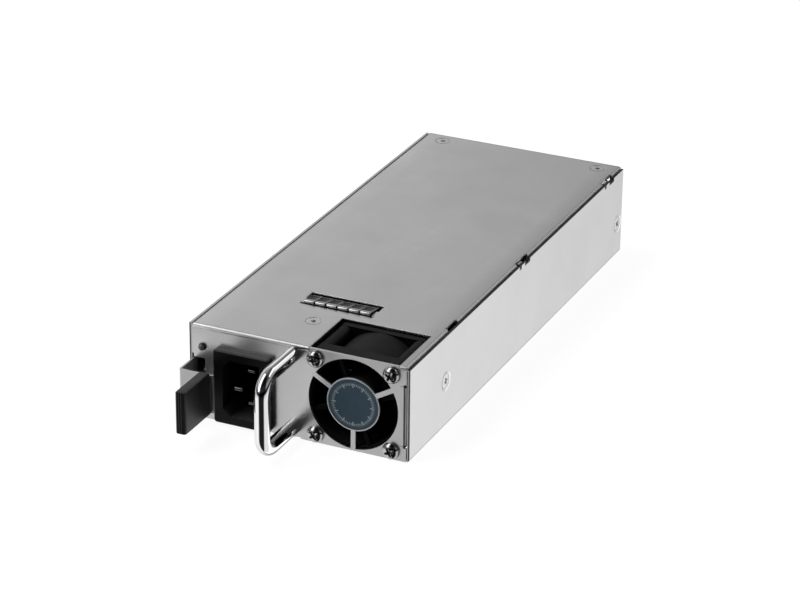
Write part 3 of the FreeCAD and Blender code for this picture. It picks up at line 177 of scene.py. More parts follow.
def sheet_steel(name, base=(0.62, 0.62, 0.625), rough=0.30, edge=0.00012, grain_axis=1, cut_edges_and_shade=None, bends=False,
                metal=1.0, shade=None):
    """Plated sheet steel: fine rolled grain, cloudy spangle, a few handling marks.
    The cut-edge mask darkens the tray's sheared edges near to black: raw edge, plus painted shade for the seam gap and
    a painted dark reflection on the wall ends; bends eases the sheet into its side bends; shade scales the colour down
    as painted shade."""
    t = Tree(name)
    t.val(color=base, metal=metal, rough=rough)
    sc = [900.0, 900.0, 900.0]
    sc[grain_axis] = 40.0
    grain = t.noise(1.0, 4.0, 0.6, t.mapping(tuple(sc)))
    cloud = t.noise(38.0, 3.0, 0.55)
    spangle = t.voronoi(420.0).outputs["Color"]
    sep = t.n("SeparateColor")
    t.link(spangle, sep.inputs[0])
    fleck = sep.outputs[0]
    speck = t.noise(1800.0, 2.0, 0.5)
    marks = t.map(t.noise(1.0, 2.0, 0.4, t.mapping((170.0, 900.0, 170.0), (0.0, 0.0, 0.6))), 0.70, 0.76, 0.0, 1.0)
    lo = tuple(c * 0.95 for c in base)
    hi = tuple(min(1.0, c * 1.035) for c in base)
    m = t.math("MULTIPLY", t.map(cloud, 0.35, 0.65, 0.0, 1.0), 0.6)
    m = t.math("ADD", m, t.math("MULTIPLY", fleck, 0.2))
    m = t.math("ADD", m, t.math("MULTIPLY", speck, 0.2))
    c = t.mix(m, lo, hi)
    r = t.math("ADD", t.map(cloud, 0.3, 0.7, rough - 0.03, rough + 0.035), t.map(grain, 0.3, 0.7, -0.008, 0.008))
    r = t.math("ADD", r, t.math("MULTIPLY", marks, 0.004))
    # painted shade and painted dark reflection on the tray's cut edges, laid over their raw-steel look
    if cut_edges_and_shade:
        xyz = t.n("SeparateXYZ")
        t.link(t.coord.outputs["Object"], xyz.inputs[0])
        mask = cut_edges_and_shade(t, xyz)
        torn = t.map(t.noise(1.0, 3.0, 0.6, t.mapping((2500.0, 500.0, 1400.0))), 0.3, 0.7, 0.5, 1.5)
        dark = t.n("VectorMath", operation="SCALE")
        dark.inputs[0].default_value = (0.075, 0.075, 0.078)
        t.link(torn, dark.inputs["Scale"])
        c = t.mix(mask, c, dark.outputs[0])
        r = t.math("ADD", r, t.math("MULTIPLY", mask, 0.25))
    # painted shade: the colour is scaled down by the given shade mask
    if shade:
        xyz = t.n("SeparateXYZ")
        t.link(t.coord.outputs["Object"], xyz.inputs[0])
        dim = t.n("VectorMath", operation="SCALE")
        t.link(c, dim.inputs[0])
        t.link(shade(t, xyz), dim.inputs["Scale"])
        c = dim.outputs[0]
    t.color(c)
    t.rough(r)
    h = t.math("ADD", t.math("MULTIPLY", grain, 0.5), t.math("MULTIPLY", speck, 0.5))
    nrm = t.round_edges(edge)
    if bends:
        xyz = t.n("SeparateXYZ")
        t.link(t.coord.outputs["Object"], xyz.inputs[0])
        over = t.math("MAXIMUM", t.math("SUBTRACT", t.math("ABSOLUTE", xyz.outputs["X"]), 0.0365), 0.0)
        ease = t.math("MULTIPLY", t.math("MULTIPLY", over, over), -3.1)
        wave = t.math("MULTIPLY", t.noise(9.0, 0.0, 0.4), 0.00018)
        nrm = t.bump(t.math("ADD", ease, wave), 1.0, 1.0, nrm)
    t.normal(t.bump(h, 0.035, 0.00002, nrm))
    return t.m


def tray_edges_and_seam_shade(t, xyz):
    """1 on the sheared tops of the side walls and the outer half of their front ends: raw edges painted near black, as
    painted shade in the seam under the cover and a painted dark reflection on the wall ends.
    """
    x, y, z = xyz.outputs["X"], xyz.outputs["Y"], xyz.outputs["Z"]
    right = t.math("MULTIPLY", t.map(x, 0.0456, 0.0458, 0.0, 1.0), t.map(z, 0.03885, 0.03900, 0.0, 1.0))
    left = t.math("MULTIPLY", t.map(x, -0.0458, -0.0460, 0.0, 1.0), t.map(z, 0.03978, 0.03986, 0.0, 0.06))
    front = t.math("MULTIPLY", t.map(t.math("ABSOLUTE", x), 0.04628, 0.04640, 0.0, 1.0), t.map(y, -0.11080, -0.11092, 0.0, 0.9))
    return t.math("MAXIMUM", t.math("MAXIMUM", right, left), front)


def painted_panel_shade(t, xyz):
    """Painted shade: the panel's colour darkens a little toward its folded top edge."""
    return t.map(xyz.outputs["Z"], 0.0310, 0.0385, 1.0, 0.88, True)


def bright_metal(name, base=(0.80, 0.80, 0.81), rough=0.08, edge=0.00008, noise_scale=300.0, vary=0.03):
    t = Tree(name)
    t.val(color=base, metal=1.0, rough=rough)
    n1 = t.noise(noise_scale, 3.0, 0.6)
    t.color(t.mix(t.map(n1, 0.3, 0.7, 0, 1), tuple(c * 0.95 for c in base), base))
    t.rough(t.map(t.noise(noise_scale * 3, 2.0), 0.3, 0.7, rough, rough + vary))
    t.normal(t.bump(t.noise(noise_scale * 8, 2.0), 0.04, 0.00001, t.round_edges(edge)))
    return t.m


def plastic(name, base, rough=0.45, texture=2600.0, bump=0.12, edge=0.00015, worn=0.0, spec=0.5, dust_and_top_light=None, front=1.0):
    """Moulded plastic with a fine spark-eroded texture; the dust colour is laid on faces that look up, as settled dust
    and as painted light from overhead; front darkens the front face as painted shade.
    """
    t = Tree(name)
    t.val(color=base, rough=rough, spec=spec)
    fine = t.noise(texture, 2.0, 0.6)
    cloud = t.noise(90.0, 3.0, 0.5)
    dark = tuple(c * 0.8 for c in base)
    light = tuple(min(1.0, c * 1.25 + 0.002) for c in base)
    c = t.mix(t.map(cloud, 0.3, 0.7, 0, 1), dark, light)
    if worn:
        w = t.math("MULTIPLY", t.wear(0.0003), worn)
        w = t.math("MULTIPLY", w, t.map(t.noise(700.0, 3.0), 0.35, 0.65, 0.2, 1.0))
        c = t.mix(w, c, tuple(min(1.0, v * 2.5 + 0.03) for v in base))
    if dust_and_top_light:
        # settled dust together with painted light: faces that look up take the lighter dust colour
        g = t.n("NewGeometry")
        gx = t.n("SeparateXYZ")
        t.link(g.outputs["Normal"], gx.inputs[0])
        lie = t.map(gx.outputs["Z"], 0.35, 0.95, 0.0, 1.0, True)
        lie = t.math("MULTIPLY", lie, t.map(t.noise(160.0, 4.0, 0.6), 0.25, 0.75, 0.75, 1.1))
        c = t.mix(lie, c, dust_and_top_light)
        if front < 1.0:
            # painted shade: faces that look forward are scaled darker so they read blacker than the sides
            front_painted_shade = t.n("VectorMath", operation="SCALE")
            t.link(c, front_painted_shade.inputs[0])
            t.link(t.map(gx.outputs["Y"], -0.95, -0.70, front, 1.0), front_painted_shade.inputs["Scale"])
            c = front_painted_shade.outputs[0]
    t.color(c)
    t.rough(t.map(t.math("ADD", fine, t.math("MULTIPLY", cloud, 0.6)), 0.5, 1.1, rough - 0.05, rough + 0.06))
    t.normal(t.bump(fine, bump, 0.00003, t.round_edges(edge)))
    return t.m


def board_material(name):
    t = Tree(name)
    t.val(color=(0.02, 0.10, 0.04), rough=0.35, coat=0.3, coat_rough=0.2)
    v = t.voronoi(260.0, feature="DISTANCE_TO_EDGE", rnd=0.5).outputs["Distance"]
    track = t.map(v, 0.05, 0.09, 1.0, 0.0)
    big = t.noise(60.0, 2.0)
    mask = t.math("MULTIPLY", track, t.map(big, 0.45, 0.5, 0.0, 1.0))
    weave = t.noise(1500.0, 2.0)
    c = t.mix(mask, (0.012, 0.075, 0.03), (0.03, 0.15, 0.055))
    c = t.mix(t.map(weave, 0.4, 0.6, 0.0, 0.25), c, (0.05, 0.16, 0.07))
    t.color(c)
    t.rough(t.map(weave, 0.3, 0.7, 0.3, 0.42))
    t.normal(t.bump(mask, 0.2, 0.00003, t.round_edges(0.0001)))
    return t.m


def copper_wound(name, base=(0.62, 0.26, 0.10)):
    t = Tree(name)
    t.val(color=base, metal=0.85, rough=0.3, coat=0.4, coat_rough=0.15)
    n1 = t.noise(350.0, 3.0)
    t.color(t.mix(t.map(n1, 0.3, 0.7, 0, 1), tuple(c * 0.6 for c in base), base))
    w = t.n("TexWave", wave_type="BANDS", bands_direction="DIAGONAL")
    w.inputs["Scale"].default_value = 320.0
    w.inputs["Distortion"].default_value = 1.5
    t.link(t.coord.outputs["Object"], w.inputs["Vector"])
    t.rough(t.map(n1, 0.3, 0.7, 0.22, 0.4))
    t.normal(t.bump(w.outputs["Fac"], 0.5, 0.0001, t.round_edges(0.0001)))
    return t.m


def glass_tube(name):
    t = Tree(name)
    t.val(color=(0.85, 0.88, 0.87), rough=0.05, trans=0.85, ior=1.5)
    n1 = t.noise(400.0, 2.0)
    t.color(t.mix(t.map(n1, 0.3, 0.7, 0, 1), (0.75, 0.79, 0.78), (0.9, 0.92, 0.91)))
    t.rough(t.map(n1, 0.3, 0.7, 0.03, 0.09))
    return t.m


MAT = {
    "case_steel": sheet_steel("case_steel_plate", cut_edges_and_shade=tray_edges_and_seam_shade),
    "panel_steel": sheet_steel("panel_steel_plate", (0.71, 0.71, 0.715), rough=0.32, grain_axis=0, metal=0.95, shade=painted_panel_shade),
    "chrome_bar": bright_metal("chrome_bar_polish", (0.86, 0.86, 0.87), 0.035, vary=0.02),
    "screw_steel": bright_metal("screw_nickel", (0.64, 0.64, 0.65), 0.26, noise_scale=500.0, vary=0.06),
    "dark_screw": bright_metal("screw_dark_nickel", (0.48, 0.48, 0.49), 0.09, noise_scale=500.0, vary=0.05),
    "spring_steel": sheet_steel("spring_steel_leaf", (0.62, 0.62, 0.63), 0.35, 0.0001, 1, metal=0.75),
    "contact_metal": bright_metal("contact_finger_metal", (0.52, 0.52, 0.52), 0.09, noise_scale=500.0),
    "black_plastic": plastic("black_moulding", (0.0075, 0.0075, 0.0078), 0.40, spec=0.16, dust_and_top_light=(0.085, 0.085, 0.086), front=0.3),
    "fan_plastic": plastic("fan_moulding", (0.0045, 0.0045, 0.0048), 0.52, 1800.0, 0.10, spec=0.05, dust_and_top_light=(0.022, 0.022, 0.0225), front=0.6),
    "badge_face": plastic("badge_film", (0.018, 0.040, 0.060), 0.34, 3200.0, 0.05, 0.00005),
    "led_lens": plastic("led_tint", (0.085, 0.088, 0.085), 0.20, 900.0, 0.02, 0.0001),
    # painted shade: the pins' nickel is made near black for the shade inside the inlet's cavity
    "pin_metal": bright_metal("pin_nickel_painted_shade", (0.13, 0.128, 0.12), 0.16),
    "board": board_material("board_resist"),
    "gold_pad": bright_metal("gold_flash", (0.90, 0.66, 0.26), 0.22, noise_scale=600.0),
    "copper_wire": copper_wound("enamelled_copper"),
    "ferrite": plastic("sintered_ferrite", (0.035, 0.036, 0.04), 0.6, 900.0, 0.5),
    "core_coat": plastic("powder_core_coat", (0.03, 0.10, 0.07), 0.5, 1200.0, 0.3),
    "tape_yellow": plastic("winding_tape", (0.62, 0.44, 0.05), 0.4, 700.0, 0.1),
    "capacitor_sleeve": plastic("capacitor_sleeve_film", (0.012, 0.014, 0.03), 0.25, 600.0, 0.04),
    "film_capacitor": plastic("film_capacitor_box", (0.50, 0.34, 0.05), 0.4, 1400.0, 0.1),
    "ceramic_blue": plastic("dipped_ceramic", (0.03, 0.10, 0.30), 0.25, 500.0, 0.1),
    "relay_case": plastic("relay_moulding", (0.03, 0.03, 0.034), 0.4),
    "heatsink": sheet_steel("heatsink_extrusion", (0.72, 0.72, 0.73), 0.38, 0.0001, 1),
    "moulded_package": plastic("epoxy_package", (0.02, 0.02, 0.02), 0.55),
    "fuse_glass": glass_tube("fuse_glass_tube"),
    "insulator": plastic("insulator_film", (0.45, 0.45, 0.40), 0.3, 600.0, 0.05),
    "magnet": plastic("bonded_magnet", (0.06, 0.06, 0.06), 0.5, 1200.0, 0.3),
    "copper_bar": copper_wound("tinned_copper", (0.66, 0.36, 0.20)),
    "wire_black": plastic("lead_black", (0.015, 0.015, 0.015), 0.4, 1400.0, 0.05),
    "wire_green": plastic("lead_green", (0.05, 0.22, 0.03), 0.4, 1400.0, 0.05),
    "bronze": bright_metal("sintered_bronze", (0.55, 0.38, 0.18), 0.35),
    "brass_part": bright_metal("turned_brass", (0.78, 0.60, 0.26), 0.22),
    "connector_white": plastic("connector_nylon", (0.70, 0.68, 0.60), 0.45, 1600.0, 0.08),
}
cover_steel = sheet_steel("cover_steel_plate", edge=0.0008, bends=True)
grip_plastic = plastic("grip_moulding", (0.0165, 0.0165, 0.0170), 0.40, spec=0.30, dust_and_top_light=(0.042, 0.042, 0.043))
slot_of = {s["node"]: s["material_slot"] for s in frame["record"]["subparts"]}
for node_name, obj in frame["nodes"].items():
    obj.data.materials.clear()
    obj.data.materials.append(cover_steel if node_name == "top_cover" else MAT[slot_of[node_name]])


def badge_material():
    """Slate film with a thin pale rim and a plain ring of tick marks, all in polar coordinates."""
    t = Tree("badge_dial_film")
    t.val(rough=0.40, spec=0.20, coat=0.08, coat_rough=0.3)
    xyz = t.n("SeparateXYZ")
    t.link(t.coord.outputs["Object"], xyz.inputs[0])
    x = t.math("SUBTRACT", xyz.outputs["X"], 0.0233)
    z = t.math("SUBTRACT", xyz.outputs["Z"], 0.0197)
    r = t.math("SQRT", t.math("ADD", t.math("MULTIPLY", x, x), t.math("MULTIPLY", z, z)))
    a = t.math("DIVIDE", t.math("ARCTAN2", x, z), 2.0 * math.pi)          # -0.5 .. 0.5, clockwise from the top
    a = t.math("ADD", a, 0.5)

    def band(v, lo, hi, soft):
        return t.math("MULTIPLY", t.map(v, lo, lo + soft, 0.0, 1.0), t.map(v, hi - soft, hi, 1.0, 0.0))

    def ticks(count, share):
        f = t.math("FRACT", t.math("ADD", t.math("MULTIPLY", a, float(count)), 0.5))
        d = t.math("ABSOLUTE", t.math("SUBTRACT", f, 0.5))
        return t.map(d, share * 0.42, share * 0.58, 1.0, 0.0)

    fine = t.math("MULTIPLY", ticks(72, 0.42), band(r, 0.00785, 0.00900, 0.00008))
    long_ = t.math("MULTIPLY", ticks(12, 0.10), band(r, 0.00715, 0.00900, 0.00008))
    ring = t.math("MULTIPLY", band(r, 0.00930, 0.00942, 0.00004), 0.35)
    print_ = t.math("MAXIMUM", t.math("MAXIMUM", t.math("MULTIPLY", fine, 0.8), long_), ring)
    rim = t.map(r, 0.01045, 0.01052, 0.0, 1.0)
    cloud = t.noise(260.0, 3.0, 0.5)
    speck = t.noise(3000.0, 2.0, 0.5)
    base = t.mix(t.map(cloud, 0.3, 0.7, 0.0, 1.0), (0.043, 0.087, 0.125), (0.049, 0.099, 0.140))
    c = t.mix(print_, base, (0.52, 0.58, 0.62))
    c = t.mix(rim, c, (0.36, 0.35, 0.38))
    t.color(c)
    t.rough(t.map(speck, 0.3, 0.7, 0.32, 0.42))
    t.normal(t.bump(t.math("ADD", t.math("MULTIPLY", print_, 0.5), t.math("MULTIPLY", speck, 0.2)), 0.25, 0.00003,
                    t.round_edges(0.00006)))
    return t.m


def lamp_material():
    """Clear grey lens, with painted shade: a near-black ring on the dome's flank where it meets the panel."""
    t = Tree("led_lens_tint")
    t.val(rough=0.2, spec=0.5)
    xyz = t.n("SeparateXYZ")
    t.link(t.coord.outputs["Object"], xyz.inputs[0])
    x = t.math("SUBTRACT", xyz.outputs["X"], -0.0414)
    z = t.math("SUBTRACT", xyz.outputs["Z"], 0.0307)
    r = t.math("SQRT", t.math("ADD", t.math("MULTIPLY", x, x), t.math("MULTIPLY", z, z)))
    cloud = t.noise(900.0, 2.0)
    c = t.mix(t.map(cloud, 0.3, 0.7, 0.0, 1.0), (0.115, 0.118, 0.114), (0.145, 0.148, 0.144))
    # painted shade: near-black ring on the dome's flank
    t.color(t.mix(t.map(r, 0.00118, 0.00146, 0.0, 1.0, True), c, (0.022, 0.022, 0.022)))
    t.rough(t.map(cloud, 0.3, 0.7, 0.16, 0.24))
    t.normal(t.bump(t.noise(1500.0, 2.0), 0.03, 0.00002, t.round_edges(0.0001)))
    return t.m


# -------------------------------------------------------------- mesh helpers

class Shell:
    """Gathers lofted surfaces in metres in the shared frame."""

    def __init__(self):
        self.v, self.f = [], []

    def loft(self, rows, cap=(True, True), wrap=True):
        base, n = len(self.v), len(rows[0])
        for r in rows:
            self.v += [tuple(q) for q in r]
        for i in range(len(rows) - 1):
            for j in range(n if wrap else n - 1):
                a, b = base + i * n + j, base + i * n + (j + 1) % n
                self.f.append((a, b, b + n, a + n))
        for k, i in ((0, 0), (1, len(rows) - 1)):
            if cap[k]:
                c = sum((Vector(q) for q in rows[i]), Vector()) / n
                self.v.append(tuple(c))
                ci = len(self.v) - 1
                for j in range(n):
                    a, b = base + i * n + j, base + i * n + (j + 1) % n
                    self.f.append((ci, b, a) if k == 0 else (ci, a, b))

    def make(self, name, body, mat, nodes=(), angle=32.0):
        me = bpy.data.meshes.new(name)
        me.from_pydata(self.v, [], self.f)
        bm = bmesh.new()
        bm.from_mesh(me)
        bmesh.ops.remove_doubles(bm, verts=bm.verts, dist=1e-7)
        bmesh.ops.dissolve_degenerate(bm, edges=bm.edges, dist=1e-7)
        bmesh.ops.recalc_face_normals(bm, faces=bm.faces)
        bm.to_mesh(me)
        bm.free()
        me.shade_smooth()
        me.set_sharp_from_angle(angle=math.radians(angle))
        me.materials.append(mat)
        ob = bpy.data.objects.new(name, me)
        scene.collection.objects.link(ob)
        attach(ob, body)
        if nodes:
            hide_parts(*nodes)
        return ob


def smooth(a, b, x):
    t = min(1.0, max(0.0, (x - a) / (b - a)))
    return t * t * (3 - 2 * t)


def axes(direction):
    w = Vector(direction)
    u = Vector((1, 0, 0)) if abs(w.x) < 0.5 else Vector((0, 1, 0))
    v = w.cross(u)
    return u, v, w


def screw(sh, origin, direction, outline, recess, turn=0.0, seg=72):
    """outline: (radius, height) in mm from the head's centre outwards and down to the shank's end.
    recess: (arm length, half width, depth, wall) of the cross in mm."""
    u, v, w = axes(direction)
    arm, half, depth, wall = recess
    rings = []
    r0 = outline[0][0]
    pts = [(0.06, outline[0][1])]
    for (ra, ha), (rb, hb) in zip(outline, outline[1:]):
        steps = max(1, int(abs(rb - ra) / 0.09)) if ra < arm + 0.4 and rb > ra else max(1, int(math.hypot(rb - ra, hb - ha) / 0.35))
        for k in range(1, steps + 1):
            f = k / steps
            q = (ra + (rb - ra) * f, ha + (hb - ha) * f)
            if q[0] > 0.07:
                pts.append(q)
    out = False
    for r, h in pts:
        row = []
        if r >= arm + 0.35:
            out = True
        for j in range(seg):
            a = 2 * math.pi * j / seg + turn
            x, y = r * math.cos(a), r * math.sin(a)
            cut = 0.0
            if not out:
                a2 = a - turn
                x2, y2 = r * math.cos(a2), r * math.sin(a2)
                for p, q in ((x2, y2), (y2, x2)):
                    along = 1.0 - smooth(arm - 0.25, arm + 0.05, abs(p))
                    taper = half * (1.0 - 0.28 * min(1.0, abs(p) / arm))
                    across = 1.0 - smooth(taper - wall, taper, abs(q))
                    cut = max(cut, along * across * depth * (1.0 - 0.45 * (min(1.0, r / arm)) ** 2))
            row.append(Vector(origin) + (u * x + v * y + w * (h - cut)) * MM)
        rings.append(row)
    sh.loft(rings)


def rrect(cx, cy, w, h, r, n=6):
    """Rounded rectangle, counter-clockwise, as a list of (x, y)."""
    pts = []
    for sx, sy, a0 in ((1, 1, 0), (-1, 1, 90), (-1, -1, 180), (1, -1, 270)):
        for k in range(n + 1):
            a = math.radians(a0 + 90.0 * k / n)
            pts.append((cx + sx * (w / 2 - r) + r * math.cos(a), cy + sy * (h / 2 - r) + r * math.sin(a)))
    return pts


# ------------------------------------------------------------------ the handle

hx, h_top, h_low, h_out, h_bend, h_r = -2.0, 35.8, 5.0, 26.4, 7.5, 3.0
path = []
for k in range(7):
    path.append((0.02 - (h_out - h_bend) * k / 6.0, h_top, 0.0))
for k in range(1, 25):
    a = math.radians(90.0 * k / 24)
    path.append((-(h_out - h_bend) - h_bend * math.sin(a), h_top - h_bend + h_bend * math.cos(a), 90.0 * k / 24))
for k in range(1, 7):
    path.append((-h_out, (h_top - h_bend) + (h_low + h_bend - h_top + h_bend) * k / 6.0, 90.0))
for k in range(1, 25):
    a = math.radians(90.0 * k / 24)
    path.append((-(h_out - h_bend) - h_bend * math.cos(a), h_low + h_bend - h_bend * math.sin(a), 90.0 + 90.0 * k / 24))
for k in range(1, 7):
    path.append((-(h_out - h_bend) * (1.0 - k / 6.0) + 0.02 * k / 6.0, h_low, 180.0))
sh = Shell()
rows = []
for y, z, turn in path:
    a = math.radians(turn)
    n1, n2 = Vector((1, 0, 0)), Vector((0, -math.sin(a), math.cos(a)))
    # the drawn bar ovals a little through its two bends
    oval = 1.0 - 0.02 * math.sin(2 * a) ** 2
    c = P(hx, y, z)
    rows.append([c + (n1 * math.cos(2 * math.pi * j / 64) + n2 * oval * math.sin(2 * math.pi * j / 64)) * h_r * MM
                 for j in range(64)])
sh.loft(rows)
sh.make("handle_bar", "chassis", MAT["chrome_bar"], ("handle",), 40.0)

# ------------------------------------------------------------------ the screws

pan_outline = [(0.0, 2.48)]
for k in range(1, 17):
    r = 3.3 * k / 16
    pan_outline.append((r, 0.62 + 1.86 * math.sqrt(max(0.0, 1 - 0.94 * (r / 3.3) ** 2))))
pan_outline += [(3.42, 0.86), (3.48, 0.60), (3.5, 0.36), (3.47, 0.12), (3.36, 0.0),
                (1.6, 0.0), (1.55, -0.2), (1.55, -8.2), (1.15, -9.0)]
sh = Shell()
for i, (sx, sz) in enumerate(((-1, -1), (-1, 1), (1, -1), (1, 1))):
    screw(sh, P(23.3 + 16.0 * sx, 0.0, 19.7 + 16.0 * sz), (0, -1, 0), pan_outline, (2.05, 0.62, 1.9, 0.3),
          math.radians((38.0, 12.0, 27.0, 63.0)[i]))
sh.make("fan_screw_heads", "chassis", MAT["dark_screw"], ("fan_screws",), 38.0)


def csk(length):
    return [(0.0, 0.0), (1.0, 0.0), (2.0, -0.01), (2.92, -0.01), (3.0, -0.03), (3.03, -0.08), (1.55, -1.48), (1.5, -1.6),
            (1.5, -length + 0.4), (1.15, -length)]


sh = Shell()
for i, (x, y) in enumerate(((-4.15, 21.9), (-36.2, 215.9), (37.4, 215.9))):
    screw(sh, P(x, y, 39.94), (0, 0, 1), csk(4.5), (1.3, 0.5, 1.1, 0.30), math.radians((20.0, 52.0, 35.0)[i]))
sh.make("cover_screw_heads", "chassis", MAT["screw_steel"], ("cover_screws",), 38.0)
sh = Shell()
for s in (-1, 1):
    for i, (y, z) in enumerate(((33.7, 19.8), (217.4, 15.0))):
        screw(sh, P(s * 46.85, y, z), (s, 0, 0), csk(4.0), (1.5, 0.55, 1.1, 0.36), math.radians((15.0, 48.0)[i]))
sh.make("side_screw_heads", "chassis", MAT["screw_steel"], ("side_screws",), 38.0)

# --------------------------------------------------------------- the status LED

sh = Shell()
prof = []
for k in range(0, 13):
    a = math.radians(90.0 * k / 12)
    prof.append((max(0.02, 1.5 * math.sin(a)), -0.4 - 1.5 * math.cos(a)))
prof += [(1.5, 1.0), (1.95, 1.06), (1.95, 1.9), (1.5, 2.0), (1.5, 5.6)]
sh.loft([[P(-41.4 + r * math.cos(2 * math.pi * j / 40), y, 30.7 + r * math.sin(2 * math.pi * j / 40)) for j in range(40)]
         for r, y in prof])
sh.make("status_lamp", "chassis", lamp_material(), ("status_led",), 40.0)

# ------------------------------------------------------------------- the badge

sh = Shell()
prof = [(0.4, -0.195)] + [(r, -0.195) for r in (2.0, 4.0, 6.0, 8.0, 9.8)] + [(10.45, -0.195), (10.58, -0.185), (10.65, -0.14), (10.69, -0.07), (10.7, 0.0)]
sh.loft([[P(23.3 + r * math.cos(2 * math.pi * j / 96), y, 19.7 + r * math.sin(2 * math.pi * j / 96)) for j in range(96)]
         for r, y in prof])
sh.make("badge_disc", "chassis", badge_material(), ("guard_badge",), 50.0)

# ------------------------------------------------------------ the latch's grip

sh = Shell()
gx0, gx1, gy0, gy1, gz0, gz1 = -36.6, -32.2, -31.45, -11.35, 8.4, 26.25
loop = []


def arc(cx, cy, r, a0, a1, n=6):
    return [(cx + r * math.cos(math.radians(a0 + (a1 - a0) * k / n)), cy + r * math.sin(math.radians(a0 + (a1 - a0) * k / n)))
            for k in range(n + 1)]


loop += arc(gx1 - 0.4, gy1 - 0.4, 0.4, 0, 90, 3)
loop += arc(gx0 + 0.4, gy1 - 0.4, 0.4, 90, 180, 3)
loop += arc(gx0 + 0.9, gy0 + 0.9, 0.9, 180, 270)
for gx in (-35.45, -34.45, -33.5):
    loop += [(gx - 0.24, gy0), (gx - 0.14, gy0 + 0.12), (gx - 0.1, gy0 + 0.38), (gx + 0.1, gy0 + 0.38), (gx + 0.14, gy0 + 0.12), (gx + 0.24, gy0)]
loop += arc(gx1 - 1.2, gy0 + 1.2, 1.2, 270, 360)
mx, my = (gx0 + gx1) / 2, (gy0 + gy1) / 2
rows = []
steps = [(gz0, 0.6)] + [(gz0 + 0.6 * (1 - math.cos(math.radians(a))), 0.6 * (1 - math.sin(math.radians(a)))) for a in (20, 40, 60, 75, 90)]
steps += [(gz0 + 3 + k * 2.9, 0.0) for k in range(5)]
steps += [(gz1 - 0.6 * (1 - math.cos(math.radians(a))), 0.6 * (1 - math.sin(math.radians(a)))) for a in (90, 75, 60, 40, 20)] + [(gz1, 0.6)]
for z, inset in steps:
    kx, ky = 1 - 2 * inset / (gx1 - gx0), 1 - 2 * inset / (gy1 - gy0)
    rows.append([P(mx + (x - mx) * kx, my + (y - my) * ky, z) for x, y in loop])
sh.loft(rows)
sh.make("latch_grip_moulding", "latch", grip_plastic, ("latch_grip",), 40.0)

# ---------------------------------------------------------- the contact fingers


def spline(pts, n):
    """Catmull-Rom through the points, as a denser list."""
    out = []
    for i in range(len(pts) - 1):
        p0, p1, p2, p3 = pts[max(0, i - 1)], pts[i], pts[i + 1], pts[min(len(pts) - 1, i + 2)]
        for k in range(n):
            t = k / n
            out.append(tuple(0.5 * (2 * p1[d] + (p2[d] - p0[d]) * t + (2 * p0[d] - 5 * p1[d] + 4 * p2[d] - p3[d]) * t * t
                                    + (3 * p1[d] - p0[d] - 3 * p2[d] + p3[d]) * t ** 3) for d in (0, 1)))
    out.append(pts[-1])
    return out


arch = spline([(35.3, 37.4), (35.3, 38.6), (35.3, 40.2), (35.31, 40.75), (35.5, 41.06), (35.85, 41.22), (36.3, 41.28), (37.0, 41.20), (38.4, 40.99),
               (40.4, 40.68), (42.3, 40.36), (43.4, 40.0), (44.1, 39.72), (44.33, 39.4), (44.35, 38.6), (44.35, 37.4)], 5)
sheet = 0.25
inner = []
for i, (y, z) in enumerate(arch):
    a, b = arch[max(0, i - 1)], arch[min(len(arch) - 1, i + 1)]
    dy, dz = b[0] - a[0], b[1] - a[1]
    n = math.hypot(dy, dz) or 1.0
    inner.append((y + dz / n * sheet, z - dy / n * sheet))
sh = Shell()
x_l, x_r, n_f, gap = -15.4, 13.8, 6, 0.36
fw = (x_r - x_l) / n_f
for i in range(n_f):
    x0, x1 = x_l + fw * i + gap / 2, x_l + fw * (i + 1) - gap / 2
    rows = []
    for f, drop in ((0.0, 0.11), (0.015, 0.07), (0.035, 0.035), (0.06, 0.012), (0.10, 0.0), (0.5, 0.0), (0.90, 0.0), (0.94, 0.012), (0.965, 0.035), (0.985, 0.07), (1.0, 0.11)):
        x = x0 + (x1 - x0) * f
        k = min(drop / sheet, 0.45)
        o = [(a[0] + (b[0] - a[0]) * k, a[1] + (b[1] - a[1]) * k) for a, b in zip(arch, inner)]
        n = [(b[0] + (a[0] - b[0]) * k, b[1] + (a[1] - b[1]) * k) for a, b in zip(arch, inner)]
        rows.append([P(x, y, z) for y, z in o + n[::-1]])
    sh.loft(rows, cap=(False, False))
    for row in (rows[0], rows[-1]):
        half = len(row) // 2
        base = len(sh.v)
        sh.v += [tuple(q) for q in row]
        for j in range(half - 1):
            sh.f.append((base + j, base + j + 1, base + 2 * half - 2 - j, base + 2 * half - 1 - j))
for y0, y1 in ((35.3, 35.55), (44.1, 44.35)):
    sh.loft([[P(x_l, y, z) for y, z in ((y0, 37.4), (y1, 37.4), (y1, 38.1), (y0, 38.1))],
             [P(x_r, y, z) for y, z in ((y0, 37.4), (y1, 37.4), (y1, 38.1), (y0, 38.1))]])
sh.make("contact_fingers", "contact_strip", MAT["contact_metal"], ("contact_strip",), 35.0)

# ------------------------------------------------------------ the inlet's pins

sh = Shell()
for px, pz, tip in ((-20.8, 23.65, 1.1), (-20.8, 9.65, 1.1), (-24.9, 16.65, -2.4)):
    rows = []
    for dy, kx, kz in ((0.0, 0.62, 0.20), (0.05, 0.70, 0.36), (0.15, 0.78, 0.52), (0.35, 0.86, 0.70), (0.65, 0.92, 0.85),
                       (1.0, 0.96, 0.94), (1.4, 0.99, 0.99), (1.8, 1.0, 1.0), (8.0, 1.0, 1.0)):
        rows.append([P(x, tip + dy, z) for x, z in rrect(px, pz, 4.0 * kx, 2.0 * kz, 0.38 * kz, 5)])
    rows.append([P(x, 24.0, z) for x, z in rrect(px, pz, 4.0, 2.0, 0.38, 5)])
    sh.loft(rows)
    sh.loft([[P(x, y, z) for x, z in rrect(px, pz, 4.8 - c, 0.8 - c, 0.15, 3)] for y, c in ((23.9, 0.0), (30.2, 0.0), (30.5, 0.3))])
sh.make("inlet_blades", "chassis", MAT["pin_metal"], ("inlet_pins",), 45.0)

# -------------------------------------------------------------- the fan's rotor

